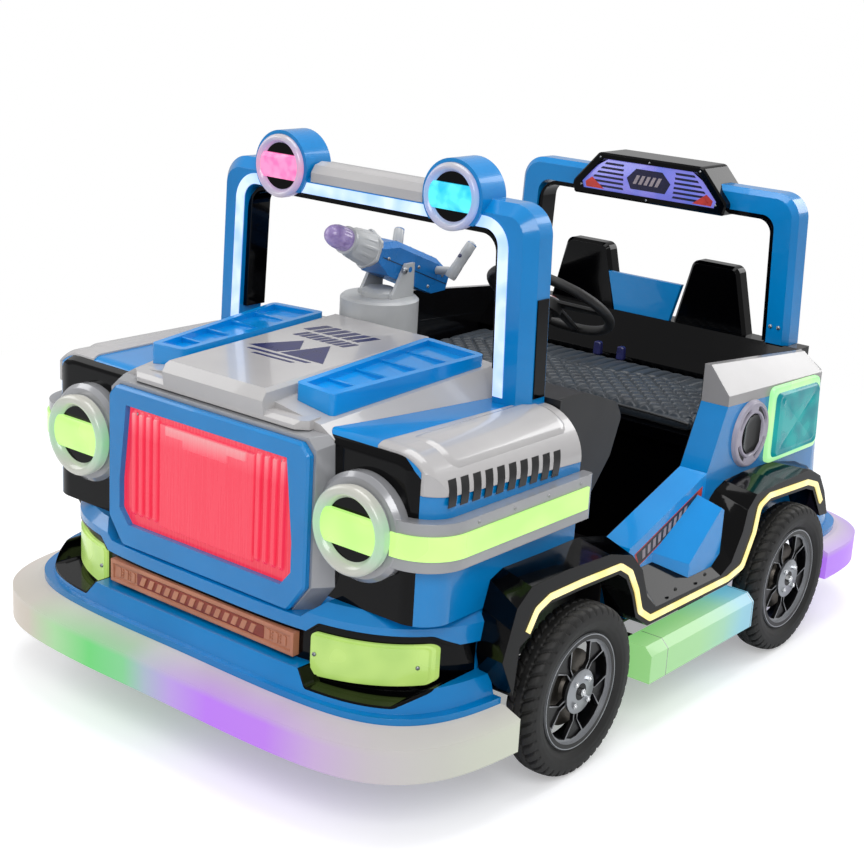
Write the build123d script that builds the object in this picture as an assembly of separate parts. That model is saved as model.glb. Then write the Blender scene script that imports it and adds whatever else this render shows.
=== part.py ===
from build123d import *
import os
from math import asin, cos, hypot, pi, radians, sin

# Ride-on bumper car: two seats, an off-road style body and a glowing bumper all round.
# Millimetres. +X is the vehicle's left, the front faces -Y and the tyres stand on Z = 0.
# Lengthwise places are stations: distances behind the foremost point of the front bumper,
# which stretch with the overall length.

# Overall
LENGTH = 2192.0
BODY_HALF = 600.0
CAB_HALF = 520.0
WALL = 6.0
SEAM = 0.3

# Running gear
TYRE_RADIUS = 202.0
TYRE_WIDTH = 80.0
TYRE_FLATS = 64
TRACK = 1276.0 + TYRE_WIDTH
FRONT_AXLE = 616.0
WHEELBASE = 985.0
REAR_AXLE = FRONT_AXLE + WHEELBASE
REAR_OVERHANG = 591.0
REAR_TIP = REAR_AXLE + REAR_OVERHANG
BEAD_RADIUS = 127.0
FLANGE_HEIGHT = 9.0
RIM_WIDTH = 63.0
RIM_FACE_INSET = 9.0
DISC_THICK = 10.0
HUB_RADIUS = 34.0
HUB_LENGTH = 26.0
STUB_RADIUS = 11.0
RUNNING_GAP = 0.1
KINGPIN_HALF = 596.0
KINGPIN_RADIUS = 8.0
SLEEVE_RADIUS = 16.0
SLEEVE_HEIGHT = 54.0
ARM_LENGTH = 110.0
ARM_TOP = 194.0
PIN_RADIUS = 5.0
TIE_ROD_RADIUS = 7.0
TIE_ROD_Z = 207.0
AXLE_TUBE_RADIUS = 24.0
MOTOR_HALF = 110.0

# Chassis
RAIL_HALF = 280.0
RAIL_SIZE = 40.0
RAIL_BOTTOM = 150.0
RAIL_TOP = RAIL_BOTTOM + RAIL_SIZE
RAIL_END = 56.0

# Bumper ring
BUMPER_HALF = 717.5
BUMPER_BOTTOM = 143.0
BUMPER_CREASE = 220.0
BUMPER_TOP = 237.0
BUMPER_BEVEL_SIDE = 42.0
BUMPER_BEVEL_END = 57.0
BUMPER_WALL = 22.0
FRONT_CORNER = FRONT_AXLE + 189.0
REAR_CORNER = REAR_TIP - 387.0
FRONT_BUMPER_END = 380.0
REAR_BUMPER_START = REAR_AXLE + TYRE_RADIUS + 12.0
FRONT_POWER = 5.5
REAR_POWER = 4.0
SIDE_BOX_FRONT = FRONT_AXLE + 276.0
SIDE_BOX_REAR = REAR_AXLE - 214.0
SIDE_BOX_BOTTOM = 132.0
SIDE_BOX_TOP = 222.0
SIDE_BOX_INNER = 640.0
SIDE_BOX_FACE = 722.0
SIDE_BOX_BEVEL = 20.0

# Nose
LEDGE_TOP = 252.0
LEDGE_PROUD = 20.0
LIP_FRONT = 84.0
LIP_HALF = 645.0
LIP_TOP = 298.0
LIP_RAKE = 12.0
CORE_FRONT = 130.0
CORE_HALF = 618.0
BAND_FRONT = 118.0
BAND_HALF = 638.0
BAND_BOTTOM = 372.0
BAND_CREASE = 415.0
NOSE_TOP = 440.0
NOSE_END = FRONT_BUMPER_END
SADDLE_BOTTOM = 401.0
SADDLE_HALF = 304.0
INLAY = 3.0
INLAY_WALL = 5.0
PLATE_HALF = 295.0
PLATE_BOTTOM = 308.0
PLATE_TOP = 362.0
PLATE_THICK = 10.0
LAMP_THICK = 11.0
# Pocket round plate and corner lamps as (x, z), from the middle outwards.
RECESS = [(314, 368), (350, 398), (562, 398), (592, 372), (592, 292), (548, 262), (354, 262),
          (324, 301)]
RECESS_MIDDLE = (430.0, 330.0)
RECESS_ROUNDING = 12.0
LAMP_OUTLINE = [(330, 374), (560, 374), (560, 284), (330, 274)]

# Grille and headlamps; outlines as (x, z), from the middle outwards.
GRILLE_FRONT = 124.0
BEZEL_DEPTH = 28.0
BEZEL_BEVEL = 5.0
LENS_FRONT = 138.0
SURROUND_FRONT = 140.0
BEZEL_OUTLINE = [(290, 782), (313, 758), (313, 465), (265, 401)]
LENS_OUTLINE = [(252, 742), (273, 560), (273, 492), (243, 457)]
SURROUND_OUTLINE_FRONT = [(296, 792), (320, 770), (320, 466), (268, 401)]
SURROUND_OUTLINE_REAR = [(318, 796), (334, 780), (350, 466), (302, 401)]
LENS_PANEL_HALF = 148.0
RIB_PITCH = 24.0
RIB_WIDTH = 13.0
WING_FRONT = 182.0
HEADLAMP_X = 429.0
HEADLAMP_Z = 629.0
HEADLAMP_RADIUS = 97.0
HEADLAMP_FRONT = 116.0
RING_DEPTH = 30.0
DRUM_RADIUS = 92.0
COLLAR_RADIUS = 118.0
COLLAR_FRONT = 150.0
BAND_LENS_HALF = 36.0
BAR_Z = 622.0
BAR_HEIGHT = 105.0
BAR_FACE = 630.0
BAR_LENS_HEIGHT = 52.0
BAR_REAR = FRONT_AXLE + 100.0
LENS_PROUD = 5.0

# Hood and wings; pairs are values at the front and at the rear.
WING_REAR = FRONT_AXLE + 86.0
HOOD_EDGE = (290.0, 350.0)
HOOD_FOOT = (330.0, 402.0)
HOOD_TOP = (811.0, 868.0)
HOOD_CROWN = (20.0, 14.0)
HOOD_CROWN_HALF = 160.0
HOOD_LIP_FRONT = 150.0
HOOD_LIP_HALF = 271.0
HOOD_LIP_BOTTOM = 796.5
PANEL_HALF = 156.0
PANEL_TOP = (863.0, 893.0)
WING_TOP = 806.0
WING_SHOULDER_RADIUS = 105.0
WING_CORNER = 75.0
WING_EDGE_RADIUS = 30.0
WING_INNER = 300.0
BAY_HALF = 584.0
BAY_RADIUS = 125.0
BAY_DEPTH = 8.0
SKIN = 4.0
VENT_STATION = (FRONT_AXLE - 391.0, FRONT_AXLE + 62.0)
VENT_INNER = (174.0, 163.0)
VENT_OUTER = (283.0, 336.0)
VENT_TOP_INNER = (871.0, 899.0)
VENT_TOP_OUTER = (866.0, 892.0)
VENT_RIM = 17.0
VENT_POCKET = 14.0
VENT_RUNGS = 4

# Fender flares: light strip as (distance behind the axle, z), seen from the side.
FLARE_FACE = 685.0
STRIP_WIDTH = 15.0
STRIP_PROUD = 4.0
STRIP_ROUNDING = 24.0
FLARE_LAP = 11.0
FRONT_STRIP = [(-195, 397), (-166, 441), (-119, 458), (1, 458), (157, 453), (202, 426),
               (237, 371), (262, 312), (310, 281)]
REAR_STRIP = [(-304, 279), (-232, 293), (-187, 374), (-173, 443), (-122, 460), (94, 448),
              (147, 430), (191, 370)]
# Roof of the flares: distance behind the axle and z at the outer face, then both at the body.
FRONT_ROOF = [(-229, 258, -229, 258), (-277, 352, -257, 345), (-254, 418, -244, 440),
              (-238, 464, -224, 500), (-190, 500, -181, 516), (-70, 503, -34, 513),
              (111, 493, 102, 513), (207, 466, 214, 490), (258, 417, 264, 440),
              (292, 340, 314, 386), (338, 301, 364, 362)]
REAR_ROOF = [(-341, 296, -371, 362), (-291, 318, -301, 440), (-247, 391, -283, 468),
             (-233, 445, -261, 485), (-193, 479, -216, 500), (-29, 482, -119, 503),
             (106, 480, 36, 497), (169, 450, 179, 468), (209, 396, 262, 436),
             (244, 322, 300, 340)]

# Windscreen frame
SCREEN_FRONT = FRONT_AXLE + 6.0
SCREEN_DEPTH = 75.0
SCREEN_BEVEL = 26.0
HOOP_CORNER = 70.0
HOOP_INNER_CORNER = 40.0
POST_INNER = 390.0
POST_OUTER = 480.0
SCREEN_SPLAY = 14.0
SCREEN_INNER_TOP = 1190.0
SCREEN_TOP = 1250.0
SCREEN_FOOT = WING_TOP - 20.0
POD_X = 263.0
POD_Z = 1247.0
POD_RADIUS = 85.0
POD_LENS_RADIUS = 76.0
POD_FRONT = SCREEN_FRONT - 10.0
POD_DEPTH = 110.0
POD_SEAT = SCREEN_FRONT + 5.0
POD_LENS_DEPTH = 28.0
LINER = 14.0
LED_WIDTH = 27.0
INSERT_BOTTOM = 826.0
INSERT_TOP = 1048.0
COVER_HALF = 172.0

# Cab
FLOOR_TOP = 240.0
ARCH_HALF = 534.0
DASH_TOP = 822.0
DASH_BOTTOM = 560.0
SEAT_FRONT = REAR_AXLE - 259.0
SEAT_TOP = 648.0
CUSHION_THICK = 42.0
BACK_FRONT = REAR_TIP - 410.0
BACK_TOP = 752.0
BACK_LEAN = 108.0
BACK_REAR = REAR_TIP - 242.0
HEADREST_X = 220.0
HEADREST_TOP = 942.0
HEADREST_THICK = 45.0

# Entry and rear body
ENTRY_FRONT = FRONT_AXLE + 336.0
ENTRY_REAR = REAR_AXLE - 312.0
ENTRY_LOW = 424.0
ENTRY_HIGH = 540.0
QUARTER_FRONT = REAR_AXLE - 239.0
QUARTER_TOP = 700.0
TAIL_START = REAR_TIP - 312.0
TAIL_FOOT = REAR_TIP - 107.0
TAIL_WAIST = REAR_TIP - 197.0
TAIL_TOP = 676.0
CAP_CREASE = 705.0
CAP_FRONT_TOP = 798.0
CAP_FRONT_CREASE = 727.0
CAP_SHELF = 20.0
SPEAKER_STATION = REAR_AXLE - 112.0
SPEAKER_Z = 606.0
SPEAKER_RADIUS = 90.0
# Tail lamp as (distance behind the rear axle, z).
TAIL_LAMP = [(-14, 502), (-18, 712), (254, 704), (272, 498)]
TAIL_LAMP_MIDDLE = (120.0, 600.0)
TAIL_LAMP_RIM = 24.0
ROLL_TOP = 1170.0
ROLL_INNER_TOP = 1106.0
ROLL_INNER = 400.0
ROLL_OUTER = 465.0
ROLL_SPLAY = 16.0
ROLL_FRONT = REAR_TIP - 307.0
ROLL_DEPTH = 85.0
ROLL_BEVEL = 15.0
# Sign box and its sunk field as (x, z), from the middle outwards.
SIGN_OUTLINE = [(175, 1215), (262, 1120), (253, 1087)]
SIGN_FIELD = [(160, 1198), (229, 1124), (222, 1104)]

# Steering wheel and toy gun
WHEEL_X = 140.0
WHEEL_STATION = SEAT_FRONT - 135.0
WHEEL_Z = 912.0
WHEEL_RADIUS = 165.0
WHEEL_TILT = 34.6
WHEEL_FLATS = 48
GRIP_RADIUS = 13.0
COLUMN_RADIUS = 20.0
GEARBOX_HEIGHT = 120.0
GUN_X = -98.0
GUN_STATION = WING_REAR + 104.0
PEDESTAL_RADIUS = 98.0
PEDESTAL_TOP = 936.0
GUN_PIVOT_STATION = GUN_STATION + 48.0
GUN_PIVOT_Z = 1003.0
GUN_PITCH = 21.0
GUN_HALF = 44.0
TRUNNION_RADIUS = 7.0
MUZZLE_Z = 14.0


def at(station):
    return (station / REAR_TIP - 0.5) * LENGTH


def outline(points, radii=None):
    if radii is None:
        return make_face(Polyline(*points, close=True))
    return make_face(FilletPolyline(*points, radius=radii, close=True))


def block(x0, x1, d0, d1, z0, z1):
    centre = Pos((x0 + x1) / 2, at((d0 + d1) / 2), (z0 + z1) / 2)
    return centre * Box(x1 - x0, at(d1) - at(d0), z1 - z0)


def side_block(side, x0, x1, d0, d1, z0, z1):
    """Block between two distances from the middle, on the left (1) or the right (-1)."""
    low, high = sorted((side * x0, side * x1))
    return block(low, high, d0, d1, z0, z1)


def side_face(x, points):
    return outline([(x, at(d), z) for d, z in points])


def front_face(station, points):
    return outline([(x, at(station), z) for x, z in points])


def from_side(points, x0, x1, radii=None):
    """Solid from x0 to x1 with an outline of (station, z) points."""
    face = outline([(x0, at(d), z) for d, z in points], radii)
    return extrude(face, amount=x1 - x0, dir=(1, 0, 0))


def from_front(points, d0, d1, radii=None):
    """Solid from station d0 to d1 with an outline of (x, z) points."""
    face = outline([(x, at(d0), z) for x, z in points], radii)
    return extrude(face, amount=at(d1) - at(d0), dir=(0, 1, 0))


def from_top(points, z0, z1, radii=None):
    """Solid from z0 to z1 with an outline of (x, station) points."""
    face = outline([(x, at(d), z0) for x, d in points], radii)
    return extrude(face, amount=z1 - z0, dir=(0, 0, 1))


def rod(start, end, radius):
    start, end = Vector(*start), Vector(*end)
    axis = end - start
    plane = Plane(origin=start, z_dir=axis)
    return extrude(plane * Circle(radius), amount=axis.length)


def drum(x, z, radius, d0, d1):
    """Cylinder that points along the car, from station d0 to d1."""
    return Pos(x, at((d0 + d1) / 2), z) * Rot(90, 0, 0) * Cylinder(radius, at(d1) - at(d0))


def turned_lengthwise(points, x, z):
    """Round body about a line along the car from (station, radius) points."""
    face = outline([(x, at(d), z + r) for d, r in points])
    return revolve(face, Axis((x, 0, z), (0, 1, 0)), 360)


def turned_crosswise(points, x, station, z):
    """Round body about a line across the car from (distance from x, radius) points."""
    face = outline([(x + u, at(station), z + r) for u, r in points])
    return revolve(face, Axis((x, at(station), z), (1, 0, 0)), 360)


def ring_of_flats(section, sides):
    """Many-sided ring about the X axis from (along the axis, radius) points."""
    rings = []
    for i in range(sides):
        turn = 2 * pi * i / sides
        rings.append([Vector(u, r * cos(turn), r * sin(turn)) for u, r in section])
    faces = []
    for here, following in zip(rings, rings[1:] + rings[:1]):
        for j, corner in enumerate(here):
            corners = [corner, here[j - 1], following[j - 1], following[j]]
            faces.append(Face(Wire.make_polygon(corners)))
    return Solid(Shell(faces))


def symmetric(points):
    """Closed outline across the car from its left half, given from the middle outwards."""
    return list(points) + [(-x, v) for x, v in reversed(points)]


def both(part):
    return [part, part.mirror(Plane.YZ)]


def biggest(part):
    return max(part.solids(), key=lambda solid: solid.volume)


def save(name, *parts):
    solids = [s for p in parts for s in p.solids()]
    shape = solids[0] if len(solids) == 1 else Compound(children=solids)
    export_step(shape, f"parts/{name}.step")


def shifted(path, distance):
    """A side-view path moved sideways, upwards where it runs to the rear."""
    normals = []
    for (d0, z0), (d1, z1) in zip(path, path[1:]):
        size = hypot(d1 - d0, z1 - z0)
        normals.append(((z0 - z1) / size, (d1 - d0) / size))
    moved = []
    for i, (d, z) in enumerate(path):
        before = normals[max(i - 1, 0)]
        after = normals[min(i, len(normals) - 1)]
        reach = distance / (1 + before[0] * after[0] + before[1] * after[1])
        moved.append((d + reach * (before[0] + after[0]), z + reach * (before[1] + after[1])))
    return moved


def ring_region(half, tip, end, power, z):
    """Plan region of a rounded end: half width, tip station, closing station."""
    corner = FRONT_CORNER if tip < end else REAR_CORNER
    reach = tip - corner
    first = asin(((end - corner) / reach) ** (power / 2))
    steps = 7
    side = []
    for i in range(steps + 1):
        t = first + (pi / 2 - first) * i / steps
        x = half * max(cos(t), 0.0) ** (2 / power)
        side.append((x, corner + reach * sin(t) ** (2 / power)))
    side[-1] = (0.0, tip)
    points = [(x, at(d), z) for x, d in side] + [(-x, at(d), z) for x, d in reversed(side[:-1])]
    curve = Spline(*points)
    return make_face(curve + Line(points[-1], points[0]))


def slab(half, tip, end, power, z0, z1):
    region = ring_region(half, tip, end, power, z0)
    return extrude(region, amount=z1 - z0, dir=(0, 0, 1))


def bumper(tip, end, power):
    sign = 1 if tip > end else -1
    top_half = BUMPER_HALF - BUMPER_BEVEL_SIDE
    top_tip = tip - sign * BUMPER_BEVEL_END
    solid = slab(BUMPER_HALF, tip, end, power, BUMPER_BOTTOM, BUMPER_CREASE)
    crease = ring_region(BUMPER_HALF, tip, end, power, BUMPER_CREASE)
    top = ring_region(top_half, top_tip, end, power, BUMPER_TOP)
    solid += loft([crease, top])
    return solid - slab(top_half - BUMPER_WALL, top_tip - sign * BUMPER_WALL, end, power,
                        BUMPER_BOTTOM, BUMPER_TOP)


def side_box():
    bevel_x = SIDE_BOX_FACE - SIDE_BOX_BEVEL
    points = [(SIDE_BOX_INNER, SIDE_BOX_BOTTOM), (SIDE_BOX_FACE, SIDE_BOX_BOTTOM),
              (SIDE_BOX_FACE, SIDE_BOX_TOP - SIDE_BOX_BEVEL), (bevel_x, SIDE_BOX_TOP),
              (SIDE_BOX_INNER, SIDE_BOX_TOP)]
    return from_front(points, SIDE_BOX_FRONT, SIDE_BOX_REAR)


def nose_core(grow=0.0):
    """Block behind the surface that carries the plate and the corner lamps."""
    return slab(CORE_HALF + grow, CORE_FRONT - grow, NOSE_END, REAR_POWER, LEDGE_TOP - 20,
                NOSE_TOP + 20)


def nose_outer():
    ledge = slab(LIP_HALF + LEDGE_PROUD, LIP_FRONT - 16, NOSE_END, FRONT_POWER, BUMPER_TOP,
                 LEDGE_TOP)
    lip = loft([ring_region(LIP_HALF, LIP_FRONT, NOSE_END, FRONT_POWER, LEDGE_TOP),
                ring_region(LIP_HALF - LIP_RAKE, LIP_FRONT + LIP_RAKE, NOSE_END, FRONT_POWER,
                            LIP_TOP)])
    core = slab(CORE_HALF, CORE_FRONT, NOSE_END, REAR_POWER, LIP_TOP, BAND_BOTTOM)
    band = slab(BAND_HALF, BAND_FRONT, NOSE_END, REAR_POWER, BAND_BOTTOM, BAND_CREASE)
    cap = loft([ring_region(BAND_HALF, BAND_FRONT, NOSE_END, REAR_POWER, BAND_CREASE),
                ring_region(BAND_HALF - 18, BAND_FRONT + 22, NOSE_END, REAR_POWER, NOSE_TOP)])
    return ledge + lip + core + band + cap


def recess(inset=0.0):
    """Prism of the pocket round the plate and both lamps."""
    middle_x, middle_z = RECESS_MIDDLE
    points = []
    for x, z in RECESS:
        points.append((x - inset if x > middle_x else x,
                       z - inset if z > middle_z else z + inset))
    return from_front(symmetric(points), LIP_FRONT - 30, NOSE_END - 12,
                      [RECESS_ROUNDING] * (2 * len(points)))


def nose_shell(outer):
    saddle = from_front(symmetric([(SADDLE_HALF + 48, NOSE_TOP + 1), (SADDLE_HALF, SADDLE_BOTTOM)]),
                        LIP_FRONT, WING_FRONT)
    inside = block(-500, 500, WING_FRONT + 40, NOSE_END, BUMPER_TOP, NOSE_TOP - WALL)
    return outer - (recess() - nose_core()) - saddle - inside


def nose_inlay(outer):
    """Black lining of the pocket: its back and its walls."""
    back = nose_core(INLAY) & recess(SEAM)
    walls = (outer & recess(SEAM)) - recess(INLAY_WALL)
    return back + walls - nose_core()


def corner_lamp():
    """Wrap-round lens on the lining, with a smaller raised face."""
    margin = 5.0
    middle_x, middle_z = RECESS_MIDDLE
    inner = []
    for x, z in LAMP_OUTLINE:
        inner.append((x - margin if x > middle_x else x + margin,
                      z - margin if z > middle_z else z + margin))
    rounding = 3 * margin
    foremost, rearmost = LIP_FRONT - 30, NOSE_END - 12
    base = from_front(LAMP_OUTLINE, foremost, rearmost, [rounding] * 4)
    raised = from_front(inner, foremost, rearmost, [rounding - margin] * 4)
    lens = (nose_core(INLAY + 0.6 * LAMP_THICK) & base) + (nose_core(INLAY + LAMP_THICK) & raised)
    return (lens & recess(INLAY_WALL + 1)) - nose_core(INLAY)


def front_plate():
    face = CORE_FRONT - INLAY - PLATE_THICK
    margin, sink = 9.0, 3.0
    plate = block(-PLATE_HALF, PLATE_HALF, face, CORE_FRONT + 12, PLATE_BOTTOM, PLATE_TOP)
    plate -= block(-PLATE_HALF + margin, PLATE_HALF - margin, face - 1, face + sink,
                   PLATE_BOTTOM + margin, PLATE_TOP - margin)
    return plate - nose_core(INLAY)


def grown(points, by):
    """Outline with its upper half raised, its lower half lowered and both sides moved out."""
    middle_z = (points[0][1] + points[-1][1]) / 2
    return [(x + by, z + by if z > middle_z else z - by) for x, z in points]


def grille_frame():
    """Silver surround that widens from the bezel to the lamp bays."""
    body = loft([front_face(SURROUND_FRONT, symmetric(SURROUND_OUTLINE_FRONT)),
                 front_face(WING_FRONT, symmetric(SURROUND_OUTLINE_REAR))], ruled=True)
    seat = symmetric(grown(BEZEL_OUTLINE, SEAM))
    return body - from_front(seat, GRILLE_FRONT, GRILLE_FRONT + BEZEL_DEPTH)


def grille_bezel():
    """Blue frame round the lens."""
    radii = [14, 14, 20, 20]
    frame = from_front(symmetric(BEZEL_OUTLINE), GRILLE_FRONT, GRILLE_FRONT + BEZEL_DEPTH,
                       radii + radii[::-1])
    frame = chamfer(frame.faces().sort_by(Axis.Y)[0].edges(), BEZEL_BEVEL)
    return frame - from_front(symmetric(LENS_OUTLINE), GRILLE_FRONT - 5, WING_FRONT)


def grille_lens():
    """Red lens: upright ribs at both sides and a stepped panel in the middle."""
    lens = from_front(symmetric(grown(LENS_OUTLINE, -SEAM)), LENS_FRONT,
                      GRILLE_FRONT + BEZEL_DEPTH)
    half = LENS_PANEL_HALF
    panel = symmetric([(half, 722), (half, 478)])
    crest = symmetric([(half - 22, 722), (half - 22, 700), (70, 700), (70, 682)])
    lens += from_front(panel, LENS_FRONT - 5, LENS_FRONT)
    lens += from_front(crest, LENS_FRONT - 10, LENS_FRONT)
    for side in (-1, 1):
        for i in range(4):
            inner = half + 8 + i * RIB_PITCH
            lens += side_block(side, inner, inner + RIB_WIDTH, LENS_FRONT - 7, LENS_FRONT, 486, 728)
    return lens


def wing_form(grow=0.0):
    """Left wing with a rounded shoulder, a rounded front edge and a rounded front corner."""
    front = WING_FRONT - grow
    half = BODY_HALF + grow
    top = WING_TOP + grow
    wing = from_front([(WING_INNER, NOSE_TOP), (half, NOSE_TOP), (half, top), (WING_INNER, top)],
                      front, WING_REAR, [0, 0, WING_SHOULDER_RADIUS + grow, 0])
    edges = [e for e in wing.edges()
             if abs(e.center().Y - at(front)) < 0.5 and e.center().Z > NOSE_TOP + 1
             and e.center().X > WING_INNER + 1]
    wing = fillet(edges, WING_EDGE_RADIUS + grow)
    return wing & from_top([(0, front), (half, front), (half, WING_REAR), (0, WING_REAR)],
                           NOSE_TOP, top + 1, [0, WING_CORNER + grow, 0, 0])


def bay_prism():
    """Space of the black bay let into the front of the wing."""
    inner = WING_INNER - 25
    points = [(inner, NOSE_TOP - 1), (BAY_HALF, NOSE_TOP - 1), (BAY_HALF, WING_TOP + 2),
              (inner, WING_TOP + 2)]
    return from_front(points, WING_FRONT - 10, WING_FRONT + BAY_DEPTH, [0, 0, BAY_RADIUS, 0])


def wing_shoulder():
    """Pearl skin over the wing's rounded shoulder, from the bay to the windscreen."""
    skin = wing_form(SKIN) - wing_form()
    front, rear = WING_FRONT + BAY_DEPTH, WING_REAR - 4
    side = from_side([(front, 724), (rear, 698), (rear, 900), (front, 900)], 400, 700)
    plan = from_top([(442, front), (700, front), (700, rear), (460, rear)], 600, 900)
    return skin & side & plan


def headlamp_housing():
    """Stepped silver drum that runs into the bar along the wing's side."""
    step = 10.0
    start = HEADLAMP_FRONT + RING_DEPTH
    profile = [(start, 0.0), (start, DRUM_RADIUS), (COLLAR_FRONT, DRUM_RADIUS),
               (COLLAR_FRONT, COLLAR_RADIUS - step), (COLLAR_FRONT + step, COLLAR_RADIUS),
               (WING_FRONT, COLLAR_RADIUS), (WING_FRONT, 0.0)]
    body = turned_lengthwise(profile, HEADLAMP_X, HEADLAMP_Z)
    proud = BAR_FACE - BODY_HALF
    front = WING_FRONT - proud
    plan = [(HEADLAMP_X, front), (BAR_FACE, front), (BAR_FACE, BAR_REAR), (BODY_HALF, BAR_REAR),
            (BODY_HALF, WING_FRONT), (HEADLAMP_X, WING_FRONT)]
    return body + from_top(plan, BAR_Z - BAR_HEIGHT / 2, BAR_Z + BAR_HEIGHT / 2,
                           [0, WING_CORNER + proud, 12, 0, WING_CORNER, 0])


def headlamp_ring():
    """Milky ring with a flared bowl and the lit band across it."""
    front, back = HEADLAMP_FRONT, HEADLAMP_FRONT + RING_DEPTH
    floor = front + 20
    radius = HEADLAMP_RADIUS
    profile = [(back, 0.0), (back, radius - 3), (front + 12, radius), (front + 3, radius - 6),
               (front, radius - 14), (front + 2, radius - 18), (floor, radius - 30), (floor, 0.0)]
    ring = turned_lengthwise(profile, HEADLAMP_X, HEADLAMP_Z)
    band = drum(HEADLAMP_X, HEADLAMP_Z, radius - 18, front + 4, floor)
    return ring + (band & block(0, 2 * HEADLAMP_X, front, back, HEADLAMP_Z - BAND_LENS_HALF,
                                HEADLAMP_Z + BAND_LENS_HALF))


def side_bar_lens():
    """Green light strip along the bar, from beside the headlamp to its rear end."""
    proud = BAR_FACE - BODY_HALF
    start = HEADLAMP_X + COLLAR_RADIUS - 26
    front = WING_FRONT - proud
    rear = BAR_REAR - 22
    plan = [(start, front - LENS_PROUD), (BAR_FACE + LENS_PROUD, front - LENS_PROUD),
            (BAR_FACE + LENS_PROUD, rear), (BAR_FACE, rear), (BAR_FACE, front), (start, front)]
    return from_top(plan, BAR_Z - BAR_LENS_HEIGHT / 2, BAR_Z + BAR_LENS_HEIGHT / 2,
                    [0, WING_CORNER + proud + LENS_PROUD, 0, 0, WING_CORNER + proud, 0])


def hood_section(end, station, inset=0.0):
    """Cross-section of the hood at its front (0) or its rear (1)."""
    top = HOOD_TOP[end] - inset
    edge, foot = HOOD_EDGE[end] - inset, HOOD_FOOT[end] - inset
    points = [(HOOD_CROWN_HALF, top + HOOD_CROWN[end]), (edge, top), (foot, WING_TOP - 18 - inset),
              (foot, NOSE_TOP)]
    return front_face(station, symmetric(points))


def hood_outer():
    return loft([hood_section(0, WING_FRONT), hood_section(1, WING_REAR)])


def hood_panel(outer):
    """Hood skin with its front lip and the raised middle panel."""
    front = HOOD_LIP_FRONT
    rear = WING_FRONT + 20
    half = HOOD_LIP_HALF
    lip = from_side([(front, HOOD_LIP_BOTTOM), (front, 806), (front + 8, 816), (rear, 820),
                     (rear, HOOD_LIP_BOTTOM)], -half, half)
    lip &= from_top([(-half, rear), (-half, front + 20), (-half + 26, front), (half - 26, front),
                     (half, front + 20), (half, rear)], 700, 900)
    raised = from_side([(front, 806), (front - 5, 838), (front + 10, PANEL_TOP[0]),
                        (WING_REAR, PANEL_TOP[1]), (WING_REAR, 850), (rear, 806)],
                       -PANEL_HALF, PANEL_HALF)
    top_edges = [e for e in raised.edges() if abs(abs(e.center().X) - PANEL_HALF) < 0.1
                 and e.center().Z > PANEL_TOP[0]]
    raised = chamfer(top_edges, 8)
    inside = loft([hood_section(0, WING_FRONT + WALL, WALL),
                   hood_section(1, WING_REAR - WALL, WALL)])
    return outer + lip + raised - inside


def vent_section(end, station, inset, low, high):
    """Upright section of a vent at its front (0) or its rear (1)."""
    inner, outer = VENT_INNER[end] + inset, VENT_OUTER[end] - inset
    inner_z, outer_z = VENT_TOP_INNER[end], VENT_TOP_OUTER[end]
    return front_face(station, [(inner, inner_z + low), (outer, outer_z + low),
                                (outer, outer_z + high), (inner, inner_z + high)])


def hood_vent():
    """Ladder-shaped tray that widens towards the cab, with a sunk floor and rungs."""
    front, rear = VENT_STATION
    tray = loft([vent_section(0, front, 0, -70, 0), vent_section(1, rear, 0, -70, 0)])
    corners = [e for e in tray.edges() if abs(e.tangent_at(0.5).Z) > 0.99]
    tray = fillet(corners, 14)
    tray -= loft([vent_section(0, front + VENT_RIM, VENT_RIM, -VENT_POCKET, 5),
                  vent_section(1, rear - VENT_RIM, VENT_RIM, -VENT_POCKET, 5)])
    for i in range(1, VENT_RUNGS + 1):
        part = i / (VENT_RUNGS + 1)
        station = front + (rear - front) * part
        inner = VENT_INNER[0] + (VENT_INNER[1] - VENT_INNER[0]) * part + VENT_RIM - 1
        outer = VENT_OUTER[0] + (VENT_OUTER[1] - VENT_OUTER[0]) * part - VENT_RIM + 1
        top = VENT_TOP_OUTER[0] + (VENT_TOP_OUTER[1] - VENT_TOP_OUTER[0]) * part - 4
        tray += block(inner, outer, station - 4, station + 4, top - VENT_POCKET - 4, top)
    return tray


def strip_path():
    return ([(FRONT_AXLE + d, z) for d, z in FRONT_STRIP]
            + [(REAR_AXLE + d, z) for d, z in REAR_STRIP])


def flare():
    """Moulding from the body out to the light strip, round both wheel openings."""
    roof = [(FRONT_AXLE + a, b, FRONT_AXLE + c, d) for a, b, c, d in FRONT_ROOF]
    roof += [(REAR_AXLE + a, b, REAR_AXLE + c, d) for a, b, c, d in REAR_ROOF]
    opening = [(FRONT_AXLE - 218, 370)] + shifted(strip_path(), -STRIP_WIDTH / 2 - FLARE_LAP)
    opening += [(REAR_AXLE + 199, 326)]
    opening.reverse()
    inner = side_face(BODY_HALF, [(c, d) for _, _, c, d in roof] + opening)
    outer = side_face(FLARE_FACE, [(a, b) for a, b, _, _ in roof] + opening)
    return loft([inner, outer], ruled=True)


def led_strip():
    path = strip_path()
    upper = shifted(path, STRIP_WIDTH / 2)
    lower = shifted(path, -STRIP_WIDTH / 2)
    radii = [0] + [STRIP_ROUNDING] * (len(path) - 2) + [0]
    return from_side(upper + lower[::-1], FLARE_FACE, FLARE_FACE + STRIP_PROUD, radii + radii)


def hoop_outline(half, top, foot, splay):
    return [(-half - splay, foot), (-half, top), (half, top), (half + splay, foot)]


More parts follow.
